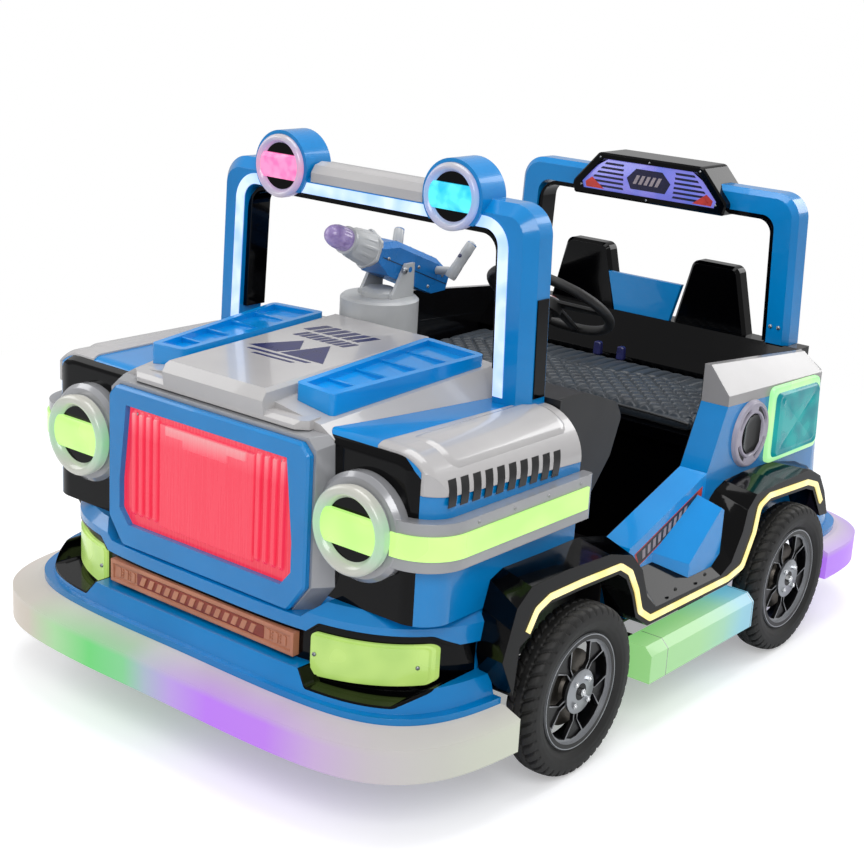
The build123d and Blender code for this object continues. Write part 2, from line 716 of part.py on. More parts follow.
def hoop(outer_half, outer_top, inner_half, inner_top, foot, d0, d1, splay, bevels=()):
    """Upside-down U across the car; bevels are (station, size) of its outer edges."""
    rounding = [0, HOOP_CORNER, HOOP_CORNER, 0]
    solid = from_front(hoop_outline(outer_half, outer_top, foot, splay), d0, d1, rounding)
    for station, size in bevels:
        edges = [e for e in solid.edges()
                 if abs(e.center().Y - at(station)) < 0.2 and e.center().Z > foot + 1]
        solid = chamfer(edges, size)
    rounding = [0, HOOP_INNER_CORNER, HOOP_INNER_CORNER, 0]
    return solid - from_front(hoop_outline(inner_half, inner_top, foot - 1, splay), d0 - 60,
                              d1 + 60, rounding)


def windscreen_frame():
    rear = SCREEN_FRONT + SCREEN_DEPTH
    frame = hoop(POST_OUTER, SCREEN_TOP, POST_INNER, SCREEN_INNER_TOP, SCREEN_FOOT, SCREEN_FRONT,
                 rear, SCREEN_SPLAY, [(SCREEN_FRONT, SCREEN_BEVEL)])
    opening = from_front(hoop_outline(POST_INNER, SCREEN_INNER_TOP, SCREEN_FOOT, SCREEN_SPLAY),
                         SCREEN_FRONT - 60, SCREEN_FRONT + 160,
                         [0, HOOP_INNER_CORNER, HOOP_INNER_CORNER, 0])
    for side in (-1, 1):
        pod = drum(side * POD_X, POD_Z, POD_RADIUS, POD_FRONT, POD_FRONT + POD_DEPTH)
        frame += chamfer(pod.edges().sort_by(Axis.Y)[-1], 24) - opening
        frame -= drum(side * POD_X, POD_Z, POD_LENS_RADIUS, POD_FRONT - 5, POD_SEAT)
    return frame


def post_insert():
    """Black strip let into the outer side of the left post."""
    lean = SCREEN_SPLAY / (SCREEN_TOP - SCREEN_FOOT)
    top_x = POST_OUTER + lean * (SCREEN_TOP - INSERT_TOP)
    foot_x = POST_OUTER + lean * (SCREEN_TOP - INSERT_BOTTOM)
    return from_front([(foot_x, INSERT_BOTTOM), (foot_x + 3, INSERT_BOTTOM),
                       (top_x + 3, INSERT_TOP), (top_x, INSERT_TOP)],
                      SCREEN_FRONT + SCREEN_BEVEL + 3, SCREEN_FRONT + SCREEN_DEPTH - 5)


def pod_lamp():
    """Round lamp of the pod: a ring with a bowl and a lit band."""
    back = POD_SEAT
    front = back - POD_LENS_DEPTH
    radius = POD_LENS_RADIUS - SEAM
    profile = [(back, 0.0), (back, radius), (front + 7, radius), (front, radius - 8),
               (front + 2, radius - 13), (front + 14, radius - 20), (front + 14, 0.0)]
    ring = turned_lengthwise(profile, POD_X, POD_Z)
    band = drum(POD_X, POD_Z, radius - 13, front + 3, front + 14)
    return ring + (band & block(0, 2 * POD_X, front, back, POD_Z - 29, POD_Z + 29))


def screen_led():
    strip = hoop(POST_INNER + LED_WIDTH, SCREEN_INNER_TOP + LED_WIDTH, POST_INNER + 1,
                 SCREEN_INNER_TOP + 1, WING_TOP + 14, SCREEN_FRONT - 3, SCREEN_FRONT, SCREEN_SPLAY)
    for side in (-1, 1):
        strip -= drum(side * POD_X, POD_Z, POD_RADIUS, SCREEN_FRONT - 20, SCREEN_FRONT + 20)
    return strip


def screen_liner():
    return hoop(POST_INNER - SEAM, SCREEN_INNER_TOP - SEAM, POST_INNER - LINER,
                SCREEN_INNER_TOP - LINER, HOOD_TOP[1] + 10, SCREEN_FRONT + 12,
                SCREEN_FRONT + SCREEN_DEPTH, SCREEN_SPLAY - 2)


def top_bar_cover():
    """White half-round cap on the top bar, between the pods."""
    front, rear, top = SCREEN_FRONT, SCREEN_FRONT + SCREEN_DEPTH, SCREEN_TOP
    points = [(front - 1, top - 30), (front - 1, top - 8), (front + 12, top + 10),
              (front + 36, top + 17), (rear, top + 13), (rear, top - 1), (front + 40, top - 12)]
    return from_side(points, -COVER_HALF, COVER_HALF)


def dashboard():
    """Moulded shell, open below and towards the firewall, with a shroud round the column."""
    front = WING_REAR + WALL
    skin = 2 * WALL
    points = [(front, DASH_BOTTOM), (front, DASH_TOP), (front + 112, DASH_TOP - 4),
              (front + 252, DASH_TOP - 52), (front + 277, DASH_TOP - 92), (front + 242, 640),
              (front + 172, DASH_BOTTOM)]
    shell = from_side(points, -CAB_HALF, CAB_HALF, [0, 0, 60, 30, 20, 30, 0])
    inner = [(front - 1, DASH_BOTTOM - 1), (front - 1, DASH_TOP - skin),
             (front + 110, DASH_TOP - 4 - skin), (front + 245, DASH_TOP - 52 - 1.3 * skin),
             (front + 264, DASH_TOP - 92), (front + 230, 644), (front + 158, DASH_BOTTOM - 1)]
    shell -= from_side(inner, -CAB_HALF + skin, CAB_HALF - skin, [0, 0, 50, 20, 8, 20, 0])
    shroud = from_side([(front + 232, 640), (front + 252, 745), (WHEEL_STATION - 97, 745),
                        (WHEEL_STATION - 167, 640)], WHEEL_X - 36, WHEEL_X + 36)
    return shell + shroud - column(SEAM)


def column_direction():
    return (0.0, sin(radians(WHEEL_TILT)), cos(radians(WHEEL_TILT)))


def on_column(distance):
    """Point on the steering axis, measured down from the wheel's centre."""
    _, along, up = column_direction()
    return (WHEEL_X, at(WHEEL_STATION) - distance * along, WHEEL_Z - distance * up)


def column_end():
    """Distance from the wheel's centre to the end of the column in the gearbox."""
    up = column_direction()[2]
    return (WHEEL_Z - FLOOR_TOP - 0.8 * GEARBOX_HEIGHT) / up


def column(grow=0.0):
    return rod(on_column(30), on_column(column_end()), COLUMN_RADIUS + grow)


def steering_column():
    x, y, _ = on_column(column_end())
    return column() + Pos(x, y, FLOOR_TOP + GEARBOX_HEIGHT / 2) * Box(100, 110, GEARBOX_HEIGHT)


def steering_wheel():
    """Grip on three spokes, one of them pointing down."""
    sides = 8
    section = []
    for i in range(sides):
        turn = 2 * pi * i / sides
        section.append((GRIP_RADIUS * sin(turn), WHEEL_RADIUS + GRIP_RADIUS * cos(turn)))
    wheel = Rot(0, -90, 0) * ring_of_flats(section, WHEEL_FLATS)
    hub = [(0, 0, -29), (38, 0, -29), (38, 0, -4), (28, 0, 2), (0, 0, 2)]
    wheel = revolve(outline(hub), Axis.Z, 360) + wheel
    for angle in (0, 90, 180):
        spoke = outline([(20, -17, -9), (WHEEL_RADIUS, -11, -9), (WHEEL_RADIUS, 11, -9),
                         (20, 17, -9)])
        wheel += Rot(0, 0, angle) * extrude(spoke, amount=9, dir=(0, 0, 1))
    return Plane(origin=on_column(0), z_dir=column_direction(), x_dir=(1, 0, 0)) * wheel


def gun_pedestal():
    rim = 6.0
    radius, height = PEDESTAL_RADIUS, PEDESTAL_TOP - DASH_TOP
    profile = [(0, 0, 0), (radius + rim, 0, 0), (radius, 0, rim), (radius, 0, height - rim),
               (radius - rim, 0, height), (0, 0, height)]
    return Pos(GUN_X, at(GUN_STATION), DASH_TOP) * revolve(outline(profile), Axis.Z, 360)


def gun_yoke():
    """Turning disc with a fork whose two ears hold the trunnion."""
    floor_z = PEDESTAL_TOP + RUNNING_GAP
    disc = Pos(GUN_X, at(GUN_STATION), floor_z + 5) * Cylinder(48, 10)
    ear_inner = GUN_HALF + 2
    ear_outer = ear_inner + 9
    front, back = GUN_STATION - 20, GUN_PIVOT_STATION + 16
    fork = block(GUN_X - ear_outer, GUN_X + ear_outer, front, back, floor_z, floor_z + 10)
    for side in (-1, 1):
        x0, x1 = sorted((GUN_X + side * ear_inner, GUN_X + side * ear_outer))
        fork += from_side([(front, floor_z), (GUN_PIVOT_STATION - 16, GUN_PIVOT_Z + 16),
                           (back, GUN_PIVOT_Z + 16), (back, floor_z)], x0, x1)
    hole = Pos(GUN_X, at(GUN_PIVOT_STATION), GUN_PIVOT_Z) * Rot(0, 90, 0) * Cylinder(
        TRUNNION_RADIUS + RUNNING_GAP, 200)
    return disc + fork - hole


def gun_body():
    """Modelled level about its trunnion, then pitched nose up."""
    side_view = [(-112, -12), (-60, -34), (120, -34), (172, -12), (172, 40), (118, 56), (-50, 56),
                 (-112, 36)]
    body = extrude(outline([(-GUN_HALF, y, z) for y, z in side_view]), amount=2 * GUN_HALF,
                   dir=(1, 0, 0))
    edges = [e for e in body.edges()
             if e.center().Z > 30 and abs(abs(e.center().X) - GUN_HALF) < 0.1]
    body = chamfer(edges, 14)
    # Muzzle dome, ribbed collar and neck as (y, radius).
    nose = [(-266, 0), (-266, 9), (-256, 21), (-240, 27), (-200, 27), (-200, 33), (-192, 33),
            (-192, 30), (-172, 36), (-120, 42), (-105, 42), (-105, 0)]
    profile = outline([(0, y, MUZZLE_Z + r) for y, r in nose])
    gun = body + revolve(profile, Axis((0, 0, MUZZLE_Z), (0, 1, 0)), 360)
    gun += Rot(0, 90, 0) * Cylinder(TRUNNION_RADIUS, 2 * (GUN_HALF + 11))
    for side in (-1, 1):
        gun += rod((side * 92, 118, 20), (side * 120, 128, 112), 13)
        gun += rod((side * 30, 120, 26), (side * 97, 120, 34), 10)
    return Pos(GUN_X, at(GUN_PIVOT_STATION), GUN_PIVOT_Z) * Rot(-GUN_PITCH, 0, 0) * gun


def quarter_wall():
    points = [(ENTRY_REAR, ENTRY_HIGH), (QUARTER_FRONT, QUARTER_TOP), (TAIL_START, TAIL_TOP),
              (TAIL_START, FLOOR_TOP), (ENTRY_REAR, FLOOR_TOP)]
    return from_side(points, CAB_HALF, BODY_HALF)


def tail_region(half, tip, z):
    return ring_region(half, tip, TAIL_START, REAR_POWER, z)


def seat_room():
    """Space that the seat back takes out of the tail."""
    return block(-CAB_HALF, CAB_HALF, TAIL_START - 5, BACK_REAR, 600, BACK_TOP + 48)


def tail_shell():
    """Rounded rear of the body on its ledge, hollow, with room for the seat back."""
    start = REAR_BUMPER_START
    lower = slab(LIP_HALF + LEDGE_PROUD, REAR_TIP - LIP_FRONT + 16, start, REAR_POWER, BUMPER_TOP,
                 LEDGE_TOP)
    lower += loft([ring_region(LIP_HALF, REAR_TIP - LIP_FRONT, start, REAR_POWER, LEDGE_TOP),
                   ring_region(LIP_HALF - LIP_RAKE, REAR_TIP - LIP_FRONT - LIP_RAKE, start,
                               REAR_POWER, LIP_TOP)])
    lower -= block(-BODY_HALF, BODY_HALF, start - 10, TAIL_START, BUMPER_TOP - 30, LIP_TOP + 12)
    shell = lower + loft([tail_region(BODY_HALF, TAIL_FOOT, LIP_TOP),
                          tail_region(BODY_HALF, TAIL_WAIST, TAIL_TOP)])
    inner = loft([tail_region(BODY_HALF - WALL, TAIL_FOOT - WALL, BUMPER_TOP),
                  tail_region(BODY_HALF - WALL, TAIL_WAIST - WALL, TAIL_TOP - WALL)])
    return shell - inner - seat_room()


def rear_cap():
    """Pearl moulding over both quarters and round the tail."""
    shelf = CAB_HALF + CAP_SHELF
    # Station, height at the cab, height of the outer crease, underside.
    places = [(QUARTER_FRONT, CAP_FRONT_TOP, CAP_FRONT_CREASE, QUARTER_TOP),
              (TAIL_START + 2, BACK_TOP, CAP_CREASE, TAIL_TOP)]
    sections = []
    for station, top, crease, base in places:
        sections.append(front_face(station, [(CAB_HALF, base), (CAB_HALF, top), (shelf, top),
                                             (BODY_HALF, crease), (BODY_HALF, base)]))
    arm = loft(sections)
    tail = loft([tail_region(BODY_HALF, TAIL_WAIST, TAIL_TOP),
                 tail_region(BODY_HALF, TAIL_WAIST - 8, CAP_CREASE)])
    tail += loft([tail_region(BODY_HALF, TAIL_WAIST - 8, CAP_CREASE),
                  tail_region(shelf, TAIL_WAIST - 34, BACK_TOP)])
    return tail - seat_room() + arm + arm.mirror(Plane.YZ)


def entry_brace():
    """Sloping wall from the sill up to the quarter, with the wedge that stands on the sill."""
    points = [(ENTRY_FRONT, ENTRY_LOW), (ENTRY_REAR, ENTRY_HIGH), (ENTRY_REAR, FLOOR_TOP),
              (ENTRY_FRONT + 8, FLOOR_TOP), (ENTRY_FRONT - 12, ENTRY_LOW - 24)]
    wall = from_side(points, CAB_HALF, BODY_HALF)
    length = ENTRY_REAR - ENTRY_FRONT
    # Wedge at the body and at its outer face as (share of the entry in front of its end, z).
    root = [(0.68, 300), (0.68, 386), (0.11, 492), (0.0, 470), (0.0, 300)]
    edge = [(0.45, 300), (0.45, 352), (0.04, 466), (0.0, 458), (0.0, 300)]
    wedge = loft([side_face(BODY_HALF, [(ENTRY_REAR - s * length, z) for s, z in root]),
                  side_face(FLARE_FACE - 25, [(ENTRY_REAR - s * length, z) for s, z in edge])],
                 ruled=True)
    return wall + wedge


def speaker():
    """Ring with a sunk cone and four slots."""
    radius = SPEAKER_RADIUS
    face = 12.0
    profile = [(0, 0), (0, radius), (7, radius), (face, radius - 6), (face, 56), (8, 50), (3, 48),
               (3, 0)]
    ring = turned_crosswise(profile, BODY_HALF, SPEAKER_STATION, SPEAKER_Z)
    centre = Pos(BODY_HALF + face, at(SPEAKER_STATION), SPEAKER_Z)
    for angle in (45, 135, 225, 315):
        ring -= centre * Rot(angle, 0, 0) * Pos(0, 0, 70) * Box(10, 46, 12)
    return ring


def tail_lamp():
    """Surround with a raised lens."""
    middle_d, middle_z = TAIL_LAMP_MIDDLE
    margin = TAIL_LAMP_RIM
    inner = []
    for d, z in TAIL_LAMP:
        inner.append((REAR_AXLE + (d + margin if d < middle_d else d - margin),
                      z + margin if z < middle_z else z - margin))
    rim = from_side([(REAR_AXLE + d, z) for d, z in TAIL_LAMP], BODY_HALF - 12, BODY_HALF + 12,
                    [22] * 4)
    return rim + from_side(inner, BODY_HALF, BODY_HALF + 24, [18] * 4)


def floor_pan():
    """Floor, firewall and the inner walls of the front wheel arches."""
    wide_from = FRONT_AXLE + 216
    low = FLOOR_TOP - WALL
    inner = ARCH_HALF - WALL
    pan = block(-BODY_HALF, BODY_HALF, wide_from, REAR_BUMPER_START, low, FLOOR_TOP)
    pan += block(-ARCH_HALF, ARCH_HALF, NOSE_END, wide_from, low, FLOOR_TOP)
    pan += block(-ARCH_HALF, ARCH_HALF, WING_REAR, WING_REAR + WALL, FLOOR_TOP, DASH_TOP)
    for side in (-1, 1):
        pan += side_block(side, inner, ARCH_HALF, NOSE_END, wide_from, FLOOR_TOP, NOSE_TOP)
        pan += side_block(side, inner, BODY_HALF, wide_from, wide_from + WALL, FLOOR_TOP, NOSE_TOP)
        pan += side_block(side, inner, BODY_HALF, WING_REAR, wide_from + WALL, NOSE_TOP,
                          NOSE_TOP + WALL)
    return pan


def seat_base():
    rear = REAR_BUMPER_START
    top = SEAT_TOP - CUSHION_THICK
    points = [(SEAT_FRONT + 30, FLOOR_TOP), (SEAT_FRONT + 30, 560), (SEAT_FRONT, 575),
              (SEAT_FRONT, top), (rear, top), (rear, FLOOR_TOP)]
    shell = from_side(points, -CAB_HALF + SEAM, CAB_HALF - SEAM)
    return shell - block(-CAB_HALF + 20, CAB_HALF - 20, SEAT_FRONT + 30 + WALL, rear - WALL,
                         FLOOR_TOP, top - WALL)


def seat_cushion():
    base = SEAT_TOP - CUSHION_THICK + SEAM
    points = [(SEAT_FRONT + 10, base), (SEAT_FRONT + 10, SEAT_TOP - 12),
              (SEAT_FRONT + 22, SEAT_TOP), (BACK_FRONT - 2, SEAT_TOP), (BACK_FRONT - 2, base)]
    return from_side(points, -CAB_HALF + 15, CAB_HALF - 15)


def seat_back():
    """Leaning back with two headrests."""
    base = SEAT_TOP - CUSHION_THICK
    half = CAB_HALF - SEAM
    back = from_side([(BACK_FRONT, base), (BACK_FRONT, SEAT_TOP), (BACK_FRONT + BACK_LEAN, BACK_TOP),
                      (BACK_REAR, BACK_TOP), (BACK_REAR, base)], -half, half)
    foot, top = 122.0, 74.0
    for side in (-1, 1):
        x = side * HEADREST_X
        rest = from_front([(x - foot, BACK_TOP - 10), (x - top, HEADREST_TOP),
                           (x + top, HEADREST_TOP), (x + foot, BACK_TOP - 10)],
                          BACK_REAR - HEADREST_THICK, BACK_REAR, [0, 26, 26, 0])
        face = rest.faces().sort_by(Axis.Y)[0]
        back += chamfer([e for e in face.edges() if e.center().Z > BACK_TOP], 9)
    return back


def seat_back_panel():
    """Blue plate between the headrests."""
    rear = BACK_REAR - HEADREST_THICK
    low, high = 95.0, 126.0
    return from_front([(-low, BACK_TOP), (-high, BACK_TOP + 112), (high, BACK_TOP + 112),
                       (low, BACK_TOP)], rear - 15, rear - SEAM)


def roll_bar():
    rear = ROLL_FRONT + ROLL_DEPTH
    return hoop(ROLL_OUTER, ROLL_TOP, ROLL_INNER, ROLL_INNER_TOP, BACK_TOP, ROLL_FRONT, rear,
                ROLL_SPLAY, [(ROLL_FRONT, ROLL_BEVEL), (rear, ROLL_BEVEL)])


def roll_liner():
    return hoop(ROLL_INNER - SEAM, ROLL_INNER_TOP - SEAM, ROLL_INNER - LINER,
                ROLL_INNER_TOP - LINER, BACK_TOP + 2, ROLL_FRONT + 8,
                ROLL_FRONT + ROLL_DEPTH - 8, ROLL_SPLAY - 2)


def sign_box():
    """Sign on the roll bar with a sunk field, left bare."""
    front = ROLL_FRONT - 28
    radii = [20, 20, 8]
    body = from_front(symmetric(SIGN_OUTLINE), front, ROLL_FRONT + ROLL_DEPTH + 20,
                      radii + radii[::-1])
    body = chamfer(body.faces().sort_by(Axis.Y)[0].edges(), 5)
    return body - from_front(symmetric(SIGN_FIELD), front - 3, front + 5)


def chassis_frame():
    """Ladder frame with outriggers to the side boxes and posts under the floor."""
    frame = side_block(1, RAIL_HALF - RAIL_SIZE, RAIL_HALF, RAIL_END, REAR_TIP - RAIL_END,
                       RAIL_BOTTOM, RAIL_TOP)
    frame += frame.mirror(Plane.YZ)
    for station in (RAIL_END + 124, FRONT_AXLE + 244, SEAT_FRONT - 2, REAR_TIP - RAIL_END - 176):
        frame += block(-RAIL_HALF + 1, RAIL_HALF - 1, station, station + RAIL_SIZE, RAIL_BOTTOM,
                       RAIL_TOP)
    for side in (-1, 1):
        for station in (SIDE_BOX_FRONT + 68, SIDE_BOX_REAR - 87):
            frame += side_block(side, RAIL_HALF - 1, SIDE_BOX_INNER, station, station + RAIL_SIZE,
                                RAIL_BOTTOM, RAIL_TOP)
        for station in (FRONT_AXLE - 146, REAR_AXLE - 121):
            frame += side_block(side, RAIL_HALF - RAIL_SIZE, RAIL_HALF, station, station + 60,
                                RAIL_TOP, FLOOR_TOP - WALL)
    return frame


def front_axle():
    """Beam on the rails with a fork and a kingpin at each end."""
    fork = KINGPIN_HALF - SLEEVE_RADIUS - 8
    plate = 8.0
    low = TYRE_RADIUS - SLEEVE_HEIGHT / 2 - 1 - plate
    high = TYRE_RADIUS + SLEEVE_HEIGHT / 2 + 1
    front, rear = FRONT_AXLE - 16, FRONT_AXLE + 16
    beam = block(-fork, fork, FRONT_AXLE - 20, FRONT_AXLE + 20, RAIL_TOP, RAIL_TOP + 32)
    for side in (-1, 1):
        for z in (low, high):
            beam += side_block(side, fork - 30, KINGPIN_HALF + 14, front, rear, z, z + plate)
        beam += side_block(side, fork - 30, fork - 10, front, rear, low, high + plate)
        beam += Pos(side * KINGPIN_HALF, at(FRONT_AXLE), TYRE_RADIUS) * Cylinder(
            KINGPIN_RADIUS, SLEEVE_HEIGHT + 20)
    return beam


def knuckle():
    """Sleeve on the kingpin with the wheel's stub and the steering arm."""
    king = Pos(KINGPIN_HALF, at(FRONT_AXLE), TYRE_RADIUS)
    stub = rod((KINGPIN_HALF + 10, at(FRONT_AXLE), TYRE_RADIUS),
               (TRACK / 2 + RIM_WIDTH / 2 - 4, at(FRONT_AXLE), TYRE_RADIUS), STUB_RADIUS)
    arm = block(KINGPIN_HALF - 10, KINGPIN_HALF + 10, FRONT_AXLE, FRONT_AXLE + ARM_LENGTH + 12,
                ARM_TOP - 10, ARM_TOP)
    pin = Pos(KINGPIN_HALF, at(FRONT_AXLE + ARM_LENGTH), TIE_ROD_Z - 1) * Cylinder(PIN_RADIUS, 30)
    body = king * Cylinder(SLEEVE_RADIUS, SLEEVE_HEIGHT) + stub + arm
    return body - king * Cylinder(KINGPIN_RADIUS + RUNNING_GAP, 200) + pin


def tie_rod():
    y = at(FRONT_AXLE + ARM_LENGTH)
    z = TIE_ROD_Z
    bar = rod((-KINGPIN_HALF, y, z), (KINGPIN_HALF, y, z), TIE_ROD_RADIUS)
    for side in (-1, 1):
        bar += Pos(side * KINGPIN_HALF, y, z) * Cylinder(11, 22)
        bar -= Pos(side * KINGPIN_HALF, y, z) * Cylinder(PIN_RADIUS + RUNNING_GAP, 60)
    return bar


def wheel_axle():
    """Rear axle tube with its stubs and the drive motor."""
    y = at(REAR_AXLE)
    stub_end = TRACK / 2 + RIM_WIDTH / 2 - 4
    tube = rod((-BODY_HALF, y, TYRE_RADIUS), (BODY_HALF, y, TYRE_RADIUS), AXLE_TUBE_RADIUS)
    tube += rod((-stub_end, y, TYRE_RADIUS), (stub_end, y, TYRE_RADIUS), STUB_RADIUS)
    return tube + block(-MOTOR_HALF, MOTOR_HALF, REAR_AXLE - 70, REAR_AXLE + 70, 140,
                        TYRE_RADIUS + AXLE_TUBE_RADIUS)


def tyre():
    """Solid ring about the X axis, many-sided to stay light; its tread is left plain."""
    half = TYRE_WIDTH / 2
    seat = RIM_WIDTH / 2 - 5.5
    bead = (BEAD_RADIUS + SEAM) / cos(pi / TYRE_FLATS)
    side = [(seat, bead), (seat, BEAD_RADIUS + 12), (half, TYRE_RADIUS - 42),
            (half - 3, TYRE_RADIUS - 18), (half - 18, TYRE_RADIUS)]
    return ring_of_flats(side + [(-u, r) for u, r in side[::-1]], TYRE_FLATS)


def rim(x, station, outward):
    """Rim with five windows and five forked spokes; the forks are sunk between thin edges."""
    half = RIM_WIDTH / 2
    flange = BEAD_RADIUS + FLANGE_HEIGHT
    points = [(-half, flange), (-half + 5, flange), (-half + 5, BEAD_RADIUS),
              (half - 5, BEAD_RADIUS), (half - 5, flange), (half, flange),
              (half, BEAD_RADIUS - 4), (-half, BEAD_RADIUS - 4)]
    wheel = turned_crosswise(points, x, station, TYRE_RADIUS)
    disc_x = x + outward * (half - RIM_FACE_INSET - DISC_THICK / 2)
    centre = Pos(disc_x, at(station), TYRE_RADIUS)
    disc = centre * Rot(0, 90, 0) * Cylinder(BEAD_RADIUS - 3, DISC_THICK)
    # Half outlines as (sideways, outwards from the hub): a window and the sunk part of a spoke.
    window = [(18, 39), (36, 63), (35, 110), (12, 116)]
    fork = [(4, 46), (7, 72), (31, 108), (10, 116)]
    sink = 5.0
    for i in range(5):
        window_face = outline([(-DISC_THICK, u, r) for u, r in symmetric(window)])
        disc -= centre * Rot(72 * i, 0, 0) * extrude(window_face, amount=2 * DISC_THICK,
                                                     dir=(1, 0, 0))
        fork_face = outline([(outward * (DISC_THICK / 2 - sink), u, r) for u, r in symmetric(fork)])
        disc -= centre * Rot(72 * i + 36, 0, 0) * extrude(fork_face, amount=DISC_THICK,
                                                         dir=(outward, 0, 0))
    hub = centre * Rot(0, 90, 0) * Cylinder(HUB_RADIUS, HUB_LENGTH)
    bore = centre * Rot(0, 90, 0) * Cylinder(STUB_RADIUS + RUNNING_GAP, 100)
    return wheel + disc + hub - bore


def battery_pack():
    """Plain block for the batteries under the seat."""
    return block(-280, 280, SEAT_FRONT + 78, SEAT_FRONT + 138, FLOOR_TOP, 420)


def main():
    os.makedirs("parts", exist_ok=True)
    front = bumper(0.0, FRONT_BUMPER_END, FRONT_POWER)
    rear = bumper(REAR_TIP, REAR_BUMPER_START, REAR_POWER)
    save("front_bumper", front)
    save("rear_bumper", rear)
    boxes = both(side_box())
    save("side_light_boxes", *boxes)
    axle = wheel_axle()
    save("rear_axle", axle)
    save("chassis_frame", chassis_frame() - front - rear - boxes - axle)
    full_nose = nose_outer()
    nose = nose_shell(full_nose)
    save("nose_shell", nose)
    save("nose_inlay", nose_inlay(full_nose))
    save("corner_lamps", *both(corner_lamp()))
    save("front_plate", front_plate())
    surround = grille_frame()
    save("grille_frame", surround)
    save("grille_bezel", grille_bezel())
    save("grille_lens", grille_lens())
    hood_block = hood_outer()
    save("hood_panel", hood_panel(hood_block))
    save("hood_vents", *both(biggest(hood_vent() - hood_block)))
    form = wing_form() - hood_block
    wing = form - bay_prism()
    save("front_wings", *both(wing))
    save("lamp_bays", *both(form & bay_prism()))
    frame = windscreen_frame() - both(wing) - hood_block
    save("windscreen_frame", frame)
    save("wing_shoulders", *both(wing_shoulder() - frame))
    housing = headlamp_housing() - surround
    save("headlamp_housings", *both(housing))
    save("headlamp_rings", *both(headlamp_ring()))
    save("side_bar_lenses", *both(biggest(side_bar_lens() - housing)))
    fender = flare() - nose
    save("fender_flares", *both(fender))
    save("fender_led_strips", *both(led_strip()))
    save("windscreen_led", screen_led())
    save("windscreen_liner", screen_liner() - frame, *both(post_insert() - frame))
    save("pod_lamps", *both(pod_lamp()))
    save("top_bar_cover", top_bar_cover() - frame)
    save("dashboard", dashboard())
    save("steering_column", steering_column())
    save("gun_pedestal", gun_pedestal())
    quarter = quarter_wall()
    tail = tail_shell()
    cap = rear_cap()
    save("rear_quarters", *both(quarter))
    save("tail_shell", tail)
    save("rear_cap", cap)
    save("entry_braces", *both(entry_brace() - fender - quarter))
    save("speakers", *both(speaker() - fender))
    save("tail_lamps", *both(biggest(tail_lamp() - fender - quarter - tail - cap)))
    save("floor_pan", floor_pan())
    save("seat_base", seat_base())
    save("seat_cushion", seat_cushion())
    save("seat_back", seat_back())
    save("seat_back_panel", seat_back_panel())
    rear_hoop = roll_bar()
    rear_liner = roll_liner()
    save("roll_bar", rear_hoop)
    save("roll_bar_liner", rear_liner)
    save("sign_box", sign_box() - rear_hoop - rear_liner)
    save("front_axle", front_axle())
    save("battery_pack", battery_pack())
    save("steering_wheel", steering_wheel())
    save("knuckle_left", knuckle())
    save("knuckle_right", knuckle().mirror(Plane.YZ))
    save("tie_rod", tie_rod())
    save("gun_yoke", gun_yoke())
    save("gun_body", gun_body())
    plain_tyre = tyre()
    for end, station in (("front", FRONT_AXLE), ("rear", REAR_AXLE)):
        for name, side in (("left", 1), ("right", -1)):
            x = side * TRACK / 2
            save(f"tyre_{end}_{name}", Pos(x, at(station), TYRE_RADIUS) * plain_tyre)
            save(f"rim_{end}_{name}", rim(x, station, side))


main()
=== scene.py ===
"""Looks of a two-seat bumper car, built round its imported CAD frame.

Pieces are worked out in millimetres as (x, station, z): x is to the vehicle's left, a station
is the distance behind the front tip and z is the height. make_piece turns them to metres.
"""

import math

import bmesh
import bpy
import numpy as np
from mathutils import Matrix, Vector


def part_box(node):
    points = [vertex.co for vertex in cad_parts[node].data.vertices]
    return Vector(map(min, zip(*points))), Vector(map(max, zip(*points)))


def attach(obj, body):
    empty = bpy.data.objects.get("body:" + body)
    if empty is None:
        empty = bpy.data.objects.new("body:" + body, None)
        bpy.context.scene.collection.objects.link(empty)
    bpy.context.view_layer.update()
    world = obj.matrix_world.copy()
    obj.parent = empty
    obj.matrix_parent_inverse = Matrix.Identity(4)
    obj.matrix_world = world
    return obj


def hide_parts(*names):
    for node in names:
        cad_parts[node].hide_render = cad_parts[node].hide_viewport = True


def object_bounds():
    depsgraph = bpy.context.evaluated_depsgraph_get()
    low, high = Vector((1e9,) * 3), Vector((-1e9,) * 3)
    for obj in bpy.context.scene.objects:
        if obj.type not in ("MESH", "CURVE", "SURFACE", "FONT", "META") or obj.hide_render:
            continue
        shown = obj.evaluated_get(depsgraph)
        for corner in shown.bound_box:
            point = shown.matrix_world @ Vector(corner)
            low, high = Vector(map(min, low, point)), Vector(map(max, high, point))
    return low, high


bl_info = {
    "name": "Bumper car dressing",
    "version": (1, 0, 0),
    "blender": (4, 5, 0),
    "location": "View3D > Sidebar > Bumper Car",
    "description": "Gives a bumper car its lit bumper, lamps, tyres, seat, toy gun and paint",
    "category": "Object",
}

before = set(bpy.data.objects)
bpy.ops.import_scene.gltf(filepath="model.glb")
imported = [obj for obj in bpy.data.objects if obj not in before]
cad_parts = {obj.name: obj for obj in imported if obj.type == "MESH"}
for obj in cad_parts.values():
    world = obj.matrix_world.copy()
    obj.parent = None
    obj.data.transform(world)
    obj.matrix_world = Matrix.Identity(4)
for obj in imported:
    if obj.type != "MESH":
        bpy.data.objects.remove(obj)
CAD_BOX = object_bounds()
BODY = "car_body"
MM = 0.001
FRONT_TIP = CAD_BOX[0][1]
WHITE = (1.0, 1.0, 1.0, 1.0)


def box_mm(node):
    """Lowest and highest corner of a CAD node as (x, station, z) in millimetres."""
    low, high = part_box(node)
    return [(np.array(corner) - [0.0, FRONT_TIP, 0.0]) / MM for corner in (low, high)]


# Colour and material tools


